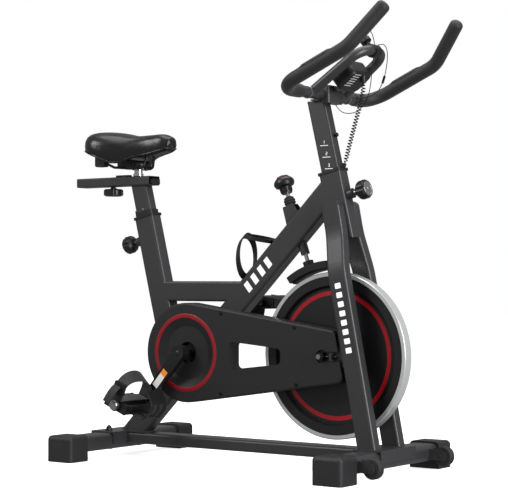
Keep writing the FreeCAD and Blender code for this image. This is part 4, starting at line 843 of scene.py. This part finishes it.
def grips():
    """Foam sleeves from the cross bar out to the tips, with rounded ends."""
    for side, name in ((-1, "right"), (1, "left")):
        path = rounded_path([Vector((259, side * 112, 902))] + bar_corners(side), [52.0, 70.0])
        way = (path[-1] - path[-2]).normalized()
        end = path[-1] - way * 5.0
        path = path[:-1] + [end + way * out for out in (0.0, 3.5, 7.0, 9.8, 11.8, 13.0, 13.5)]
        total = len(path) - 1

        def ring(t, total=total):
            place = round(t * total)
            from_end = total - place
            shrink = {0: 3.0, 1: 7.0, 2: 10.6, 3: 13.4, 4: 15.4, 5: 16.3}
            radius = shrink.get(from_end, 16.5)
            if place == 0:
                radius = 15.2
            return circle(radius, 28)
        verts, faces = follow(path, ring)
        grip = piece("foam_grip_" + name, verts, faces, FOAM, "handlebar")
    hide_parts("grips")


def pulse_plates():
    """Curved contact plates on top of the side bars."""
    for side, name in ((-1, "right"), (1, "left")):
        a, b = bar_corners(side)[:2]
        way = (b - a).normalized()
        across = Vector((0, 1, 0))
        across = (across - way * across.dot(way)).normalized()
        up = across.cross(way)
        if up.z < 0:
            up = -up
        for label, reach, lift, spread, low, high, material in (
                ("base", 17.2, 2.2, 60, 0.36, 0.80, NYLON),
                ("plate", 18.9, 1.0, 44, 0.39, 0.77, CHROME)):
            verts = []
            faces = []
            rows, columns = 14, 12
            for r in range(rows + 1):
                t = low + (high - low) * r / rows
                taper = 1 - 0.35 * abs(2 * r / rows - 1) ** 4
                for c in range(columns + 1):
                    turn = math.radians(spread * taper * (2 * c / columns - 1))
                    edge = 1 - (2 * c / columns - 1) ** 6
                    radius = reach + lift * 0.5 * edge * (1 - (2 * r / rows - 1) ** 8)
                    verts.append(a.lerp(b, t) + up * (radius * math.cos(turn))
                                 + across * (radius * math.sin(turn)))
            n = columns + 1
            inner = len(verts)
            for v in list(verts):
                share = (v - a).dot(way)
                foot = a + way * share
                verts.append(foot + (v - foot).normalized() * 16.0)
            for r in range(rows):
                for c in range(columns):
                    q = (r * n + c, r * n + c + 1, (r + 1) * n + c + 1, (r + 1) * n + c)
                    faces.append(q)
                    faces.append(tuple(inner + k for k in reversed(q)))
            edge_loop = ([c for c in range(n)] + [r * n + columns for r in range(1, rows + 1)]
                         + [rows * n + c for c in range(columns - 1, -1, -1)]
                         + [r * n for r in range(rows - 1, 0, -1)])
            for k, i in enumerate(edge_loop):
                j = edge_loop[(k + 1) % len(edge_loop)]
                faces.append((i, j, inner + j, inner + i))
            piece("pulse_%s_%s" % (label, name), verts, faces, material, "handlebar")


def console_trim():
    """The display window, its rim and the vent slots on the housing's back."""
    face = Vector((-math.sin(DISPLAY_TILT), 0, math.cos(DISPLAY_TILT)))
    along = Vector((math.cos(DISPLAY_TILT), 0, math.sin(DISPLAY_TILT)))
    window = DISPLAY_MIDDLE + face * 20.8 + along * 10
    slab("display_window", round_rect(33, 58, 3.5), 0.05, 0.8, window, along, (0, 1, 0), SCREEN,
         "handlebar", 0.4)
    back = DISPLAY_MIDDLE - face * 22
    for k in range(6):
        centre = back + along * (-12 + 7.4 * k) + Vector((0, -21, 0))
        slab("vent_slot_%d" % k, round_rect(26, 3.0, 1.4), 0.02, 0.25, centre, (0, 1, 0), along,
             VENT, "handlebar")


def clamp_ring():
    """Plated rings on the cross bar, beside the loop bar."""
    for side, name in ((-1, "right"), (1, "left")):
        turned("bar_ring_" + name, ((14.2, -2.5), (15.4, -2.2), (15.8, 0), (15.4, 2.2), (14.2, 2.5),
                                    (14.2, -2.5)), Vector((259, side * 84, 902)), (0, 1, 0), ZINC,
               "handlebar", "bright_steel")


# ------------------------------------------------------------ posts, knobs and brake
DIGITS = {"1": ((0, -2, 0, 2),), "2": ((-1, 2, 1, 2), (1, 2, 1, 0), (1, 0, -1, 0), (-1, 0, -1, -2),
                                       (-1, -2, 1, -2)),
          "3": ((-1, 2, 1, 2), (1, 2, 1, 0), (1, 0, -1, 0), (1, 0, 1, -2), (1, -2, -1, -2))}


def printed_bar(name, a, b, width, out, material, body):
    """A thin printed stroke between two points of a flat side face."""
    way = (b - a).normalized()
    side = way.cross(out).normalized()
    length = (b - a).length
    slab(name, round_rect(length + width, width, width * 0.3, 2), 0.03, 0.15, (a + b) / 2, way, side,
         material, body)


def height_scales():
    """Lines and digits printed on the handlebar post, on both sides."""
    for side, tag in ((-1, "r"), (1, "l")):
        out = Vector((0, side, 0))
        for number, z in (("3", 723.5), ("2", 751.5), ("1", 779.6)):
            centre = COLUMN_TOP + COLUMN_WAY * ((z - COLUMN_TOP.z) / COLUMN_WAY.z)
            centre = centre + out * 15.0
            printed_bar("scale_line_%s_%s" % (tag, number), centre - LEVEL * 10.5,
                        centre + LEVEL * 10.5, 1.4, -out, WHITE, "handlebar")
            for k, (u0, v0, u1, v1) in enumerate(DIGITS[number]):
                lift = centre + UPRIGHT * 8.5
                flip = -side
                printed_bar("scale_digit_%s_%s_%d" % (tag, number, k),
                            lift + LEVEL * (1.5 * u0 * flip) + UPRIGHT * (1.7 * v0),
                            lift + LEVEL * (1.5 * u1 * flip) + UPRIGHT * (1.7 * v1),
                            0.9, -out, WHITE, "handlebar")


def small_fasteners():
    head = ((0.0, 10.4), (3.0, 10.2), (4.8, 8.8), (5.4, 6.6), (5.0, 4.4), (3.2, 3.6), (3.2, 0.0))
    place = COLUMN_TOP + COLUMN_WAY * (85.0 / COLUMN_WAY.z) + COLUMN_FRONT * 25.0
    turned("post_screw", tuple(reversed(head)), place, COLUMN_FRONT, OXIDE, "handlebar",
           "bright_steel", 24)
    turned("seat_rivet", ((2.3, 0.0), (2.2, 0.12), (1.3, 0.2), (0.0, 0.24)), Vector((-304, -15, 641)),
           (0, -1, 0), CHROME, "seat_post", "bright_steel", 20)
    for k, (x, z) in enumerate(((-12.0, 374.0), (208.0, 343.5), (213.0, 206.5), (-12.0, 176.0))):
        turned("cover_screw_%d" % k, ((4.6, 0.0), (4.4, 0.8), (3.2, 1.1), (1.4, 1.1), (1.2, 0.4),
                                      (0.0, 0.3)), Vector((x, -63.6, z)), (0, -1, 0), OXIDE, "frame",
               "bright_steel", 24)


def knob_faces():
    """Brushed discs on the ends of the two locking knobs."""
    column = COLUMN_TOP + COLUMN_WAY * ((654.0 - COLUMN_TOP.z) / COLUMN_WAY.z)
    seat = SEAT_TOP + SEAT_WAY * ((567.0 - SEAT_TOP.z) / SEAT_WAY.z)
    for name, base, way in (("column", column, COLUMN_FRONT), ("seat", seat, SEAT_REAR)):
        end = base + way * (TUBE_HALF_DEPTH + KNOB_OUT + KNOB_LENGTH)
        turned(name + "_knob_disc", ((17.5, -0.4), (17.5, 0.5), (16.6, 1.1), (14.6, 1.1), (14.2, 0.7),
                                     (3.0, 0.7), (2.4, 1.3), (0.0, 1.4)), end, way, SILVER,
               name + "_knob", "bright_steel")


def brake_dressing():
    """The knob's top insert and grip ribs, and the rubber boot over the guide."""
    def at(up):
        return WHEEL + BRAKE_WAY * up
    turned("brake_insert", ((16.5, 19.4), (16.2, 21.6), (13.5, 24.2), (8.0, 25.8), (0.0, 26.4)),
           at(BRAKE_KNOB_UP), BRAKE_WAY, DEEP_RED, "brake_knob", "knob_plastic")
    boot = [(10.8, 382.0), (12.4, 383.0), (12.6, 386.0), (11.2, 388.0), (14.0, 390.0), (14.6, 392.5),
            (12.6, 394.5), (14.4, 396.5), (14.4, 399.0), (11.8, 401.0), (12.6, 403.0), (11.2, 405.6),
            (8.0, 407.6), (6.2, 408.4), (6.2, 382.0), (10.8, 382.0)]
    turned("brake_boot", boot, WHEEL, BRAKE_WAY, TYRE, "frame", "roller_rubber")
    side, up = cross_frame(BRAKE_WAY)
    for k in range(12):
        turn = 2 * math.pi * k / 12
        out = side * math.cos(turn) + up * math.sin(turn)
        low = at(BRAKE_KNOB_UP - 17) + out * 13.2
        high = at(BRAKE_KNOB_UP - 7) + out * 14.6
        round_bar("knob_rib_%d" % k, [low, low.lerp(high, 0.5), high], 1.6, KNOB, "brake_knob",
                  8)


# ------------------------------------------------------------ drive dressing
def cover_ring():
    """The red trim ring round the crank's dish, and the caps on the crank's two hubs."""
    centre = Vector((CRANK.x, -65.0, CRANK.z))
    turned("cover_red_ring", ((87.2, -0.4), (87.6, 0.5), (88.6, 0.8), (96.8, 0.8), (97.9, 0.4),
                              (98.2, -0.4), (87.2, -0.4)), centre, (0, -1, 0), RED, "frame",
           "cover_plastic", 128)
    for name, side in (("crank_hub_cap", -1), ("left_hub_cap", 1)):
        turned(name, ((7.6, 0.0), (7.4, 2.0), (5.8, 3.4), (0.0, 3.8)),
               Vector((CRANK.x, side * 96.0, CRANK.z)), (0, side, 0), NYLON, "crankset",
               "black_plastic", 32)


def crank_label():
    """A blank two-colour label on the right crank."""
    way = CRANK_REACH.normalized()
    side = Vector((0, -1, 0)).cross(way)
    for name, low, high, material in (("orange", 60.0, 76.0, ORANGE), ("paper", 76.0, 114.0, PAPER)):
        centre = CRANK + way * ((low + high) / 2) + Vector((0, -94.0, 0))
        slab("crank_label_" + name, round_rect(high - low, 17, 1.0, 3), 0.03, 0.2, centre, way,
             side, material, "crankset")


def frame_stripes():
    """Plain white printed bars on the main tube and on the right fork leg."""
    way = Vector((1, 0, 1)).normalized()
    up = Vector((-1, 0, 1)).normalized()
    base = Vector((68.0, -20.0, 467.0)) + up * 2
    for k in range(4):
        lean = 5.0
        outline = ((-11 + lean, -13), (4 + lean, -13), (11 - lean + 5, 13), (-4 - lean + 5, 13))
        slab("tube_stripe_%d" % k, outline, 0.03, 0.15, base + way * (-42 + 28 * k), way, up, WHITE,
             "frame")
    fork_way = Vector((-0.2, 0, 1)).normalized()
    across = Vector((fork_way.z, 0, -fork_way.x))
    for k in range(8):
        z = 444.0 - 21.5 * k
        centre = Vector((411.0 - 0.2 * (z - 62.0), -70.0, z))
        slab("leg_stripe_%d" % k, round_rect(16, 13, 2.0, 3), 0.03, 0.15, centre, across, fork_way,
             WHITE, "frame")


def strap_path(name):
    """The pedal axle for a toe strap, in millimetres, with the pedal's tilt and side."""
    side, turn_deg = (-1, 22.0) if name == "right" else (1, 186.0)
    axle = CRANK + (CRANK_REACH if name == "right" else -CRANK_REACH)
    axle = Vector((axle.x, side * 153.5, axle.z))
    turn = Matrix.Rotation(math.radians(turn_deg), 4, "Y")
    return axle, turn, side


def straps():
    """Webbing over the foot: a flat belt with a buckle on the outer side and a loose tail."""
    for name in ("right", "left"):
        axle, turn, side = strap_path(name)
        half, base, shoulder, crown = 51.9, 16.6, 40.0, 75.0
        points = [Vector((0, half * (1 - 2 * k / 8), base)) for k in range(9)]
        left = [Vector((2.0 * k / 5, -half, base + (shoulder - base) * k / 5)) for k in range(1, 6)]
        arch = []
        for k in range(1, 22):
            angle = math.pi * k / 22
            arch.append(Vector((2.0 - 4.0 * math.sin(angle), -half * math.cos(angle),
                                shoulder + (crown - shoulder) * math.sin(angle) ** 0.85)))
        right = [Vector((v.x, -v.y, v.z)) for v in reversed(left)]
        loop = points + left + arch + right
        verts = []
        faces = []
        wide = 16.0
        thick = 1.1
        n = len(loop)
        for i, p in enumerate(loop):
            ahead = (loop[(i + 1) % n] - loop[i - 1]).normalized()
            lean = math.radians(34.0) * max(0.0, (p.z - shoulder) / (crown - shoulder))
            across = Vector((math.cos(lean), 0, -math.sin(lean)))
            out = across.cross(ahead).normalized()
            for u, w in ((-wide, -thick), (-wide, thick), (-wide * 0.5, thick), (0, thick),
                         (wide * 0.5, thick), (wide, thick), (wide, -thick), (0, -thick)):
                spot = p + across * u + out * w
                verts.append(axle + turn @ spot)
        for i in range(n):
            j = (i + 1) % n
            for c in range(8):
                d = (c + 1) % 8
                faces.append((i * 8 + c, i * 8 + d, j * 8 + d, j * 8 + c))
        strap = piece("toe_webbing_" + name, verts, faces, WEBBING, "pedal_" + name)
        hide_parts("toe_strap_" + name)
        buckle(name, axle, turn, side)


def buckle(name, axle, turn, side):
    """A moulded cam buckle with its tail of webbing hanging outward."""
    centre = Vector((0, side * 55.0, 46.0))
    shapes = (("body", round_rect(36, 30, 4), 0.0, 7.0, NYLON),
              ("lever", round_rect(28, 16, 3), 7.0, 4.0, KNOB))
    for label, outline, lift, thick, material in shapes:
        part = slab("buckle_%s_%s" % (label, name), outline, lift, thick, Vector((0, 0, 0)),
                    (side, 0, 0), (0, 0, 1), material, None, 1.2)
        place = Matrix.Translation(axle * MM) @ turn @ Matrix.Translation(centre * MM)
        part.data.transform(place)
        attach(part, "pedal_" + name)
    tail = [Vector((-2, side * 60, 52)), Vector((-4, side * 66, 44)), Vector((-6, side * 71, 32)),
            Vector((-8, side * 74, 18)), Vector((-9, side * 76, 6))]
    verts = []
    faces = []
    for i, p in enumerate(tail):
        ahead = tail[min(i + 1, len(tail) - 1)] - tail[max(i - 1, 0)]
        normal = Vector((1, 0, 0)).cross(ahead.normalized()).normalized()
        for u, w in ((-11, -0.9), (-11, 0.9), (0, 0.9), (11, 0.9), (11, -0.9), (0, -0.9)):
            verts.append(axle + turn @ (p + Vector((u, 0, 0)) + normal * w))
    for i in range(len(tail) - 1):
        for c in range(6):
            d = (c + 1) % 6
            faces.append((i * 6 + c, i * 6 + d, (i + 1) * 6 + d, (i + 1) * 6 + c))
    faces.append(tuple(range(6))[::-1])
    faces.append(tuple((len(tail) - 1) * 6 + c for c in range(6)))
    piece("strap_tail_" + name, verts, faces, WEBBING, "pedal_" + name)
    turned("dust_cap_" + name, ((12.4, 9.4), (11.6, 10.9), (8.0, 11.7), (0.0, 12.0)),
           Vector((axle.x, side * 201, axle.z)), (0, side, 0), ZINC, "pedal_" + name,
           "bright_steel", 32)


def slot_lip():
    """A low rounded guide round the clamp's slot, on top of the saddle rail."""
    outer = round_rect(50, 18, 8.9, 8)
    inner = round_rect(38, 6, 2.9, 8)
    verts = []
    levels = ((outer, 0.0, 1.0), (outer, 4.4, 1.0), (outer, 5.4, 0.96),
              (inner, 5.4, 1.04), (inner, 4.4, 1.0), (inner, 0.0, 1.0))
    for outline, level, k in levels:
        verts.extend((-382.0 + u * k, v * k, 727.1 + level) for u, v in outline)
    n = len(outer)
    faces = []
    for r in range(len(levels)):
        s = (r + 1) % len(levels)
        for i in range(n):
            j = (i + 1) % n
            faces.append((r * n + i, r * n + j, s * n + j, s * n + i))
    piece("rail_slot_lip", verts, faces, BLACK_PAINT, "saddle_slider")


def caps_trim():
    """A thin dark panel on the outer end of each rear cap."""
    for side, way in ((-1, "right"), (1, "left")):
        slab("cap_panel_" + way, round_rect(36, 15, 2), 0.02, 0.4,
             Vector((-385.0, side * 250.0, 41.0)), (-side, 0, 0), (0, 0, 1), TYRE, "frame",
             0.3)


camera()
cords()
studio()
finish_nodes()
saddle()
grips()
pulse_plates()
console_trim()
clamp_ring()
height_scales()
small_fasteners()
knob_faces()
brake_dressing()
cover_ring()
crank_label()
frame_stripes()
straps()
slot_lip()
caps_trim()
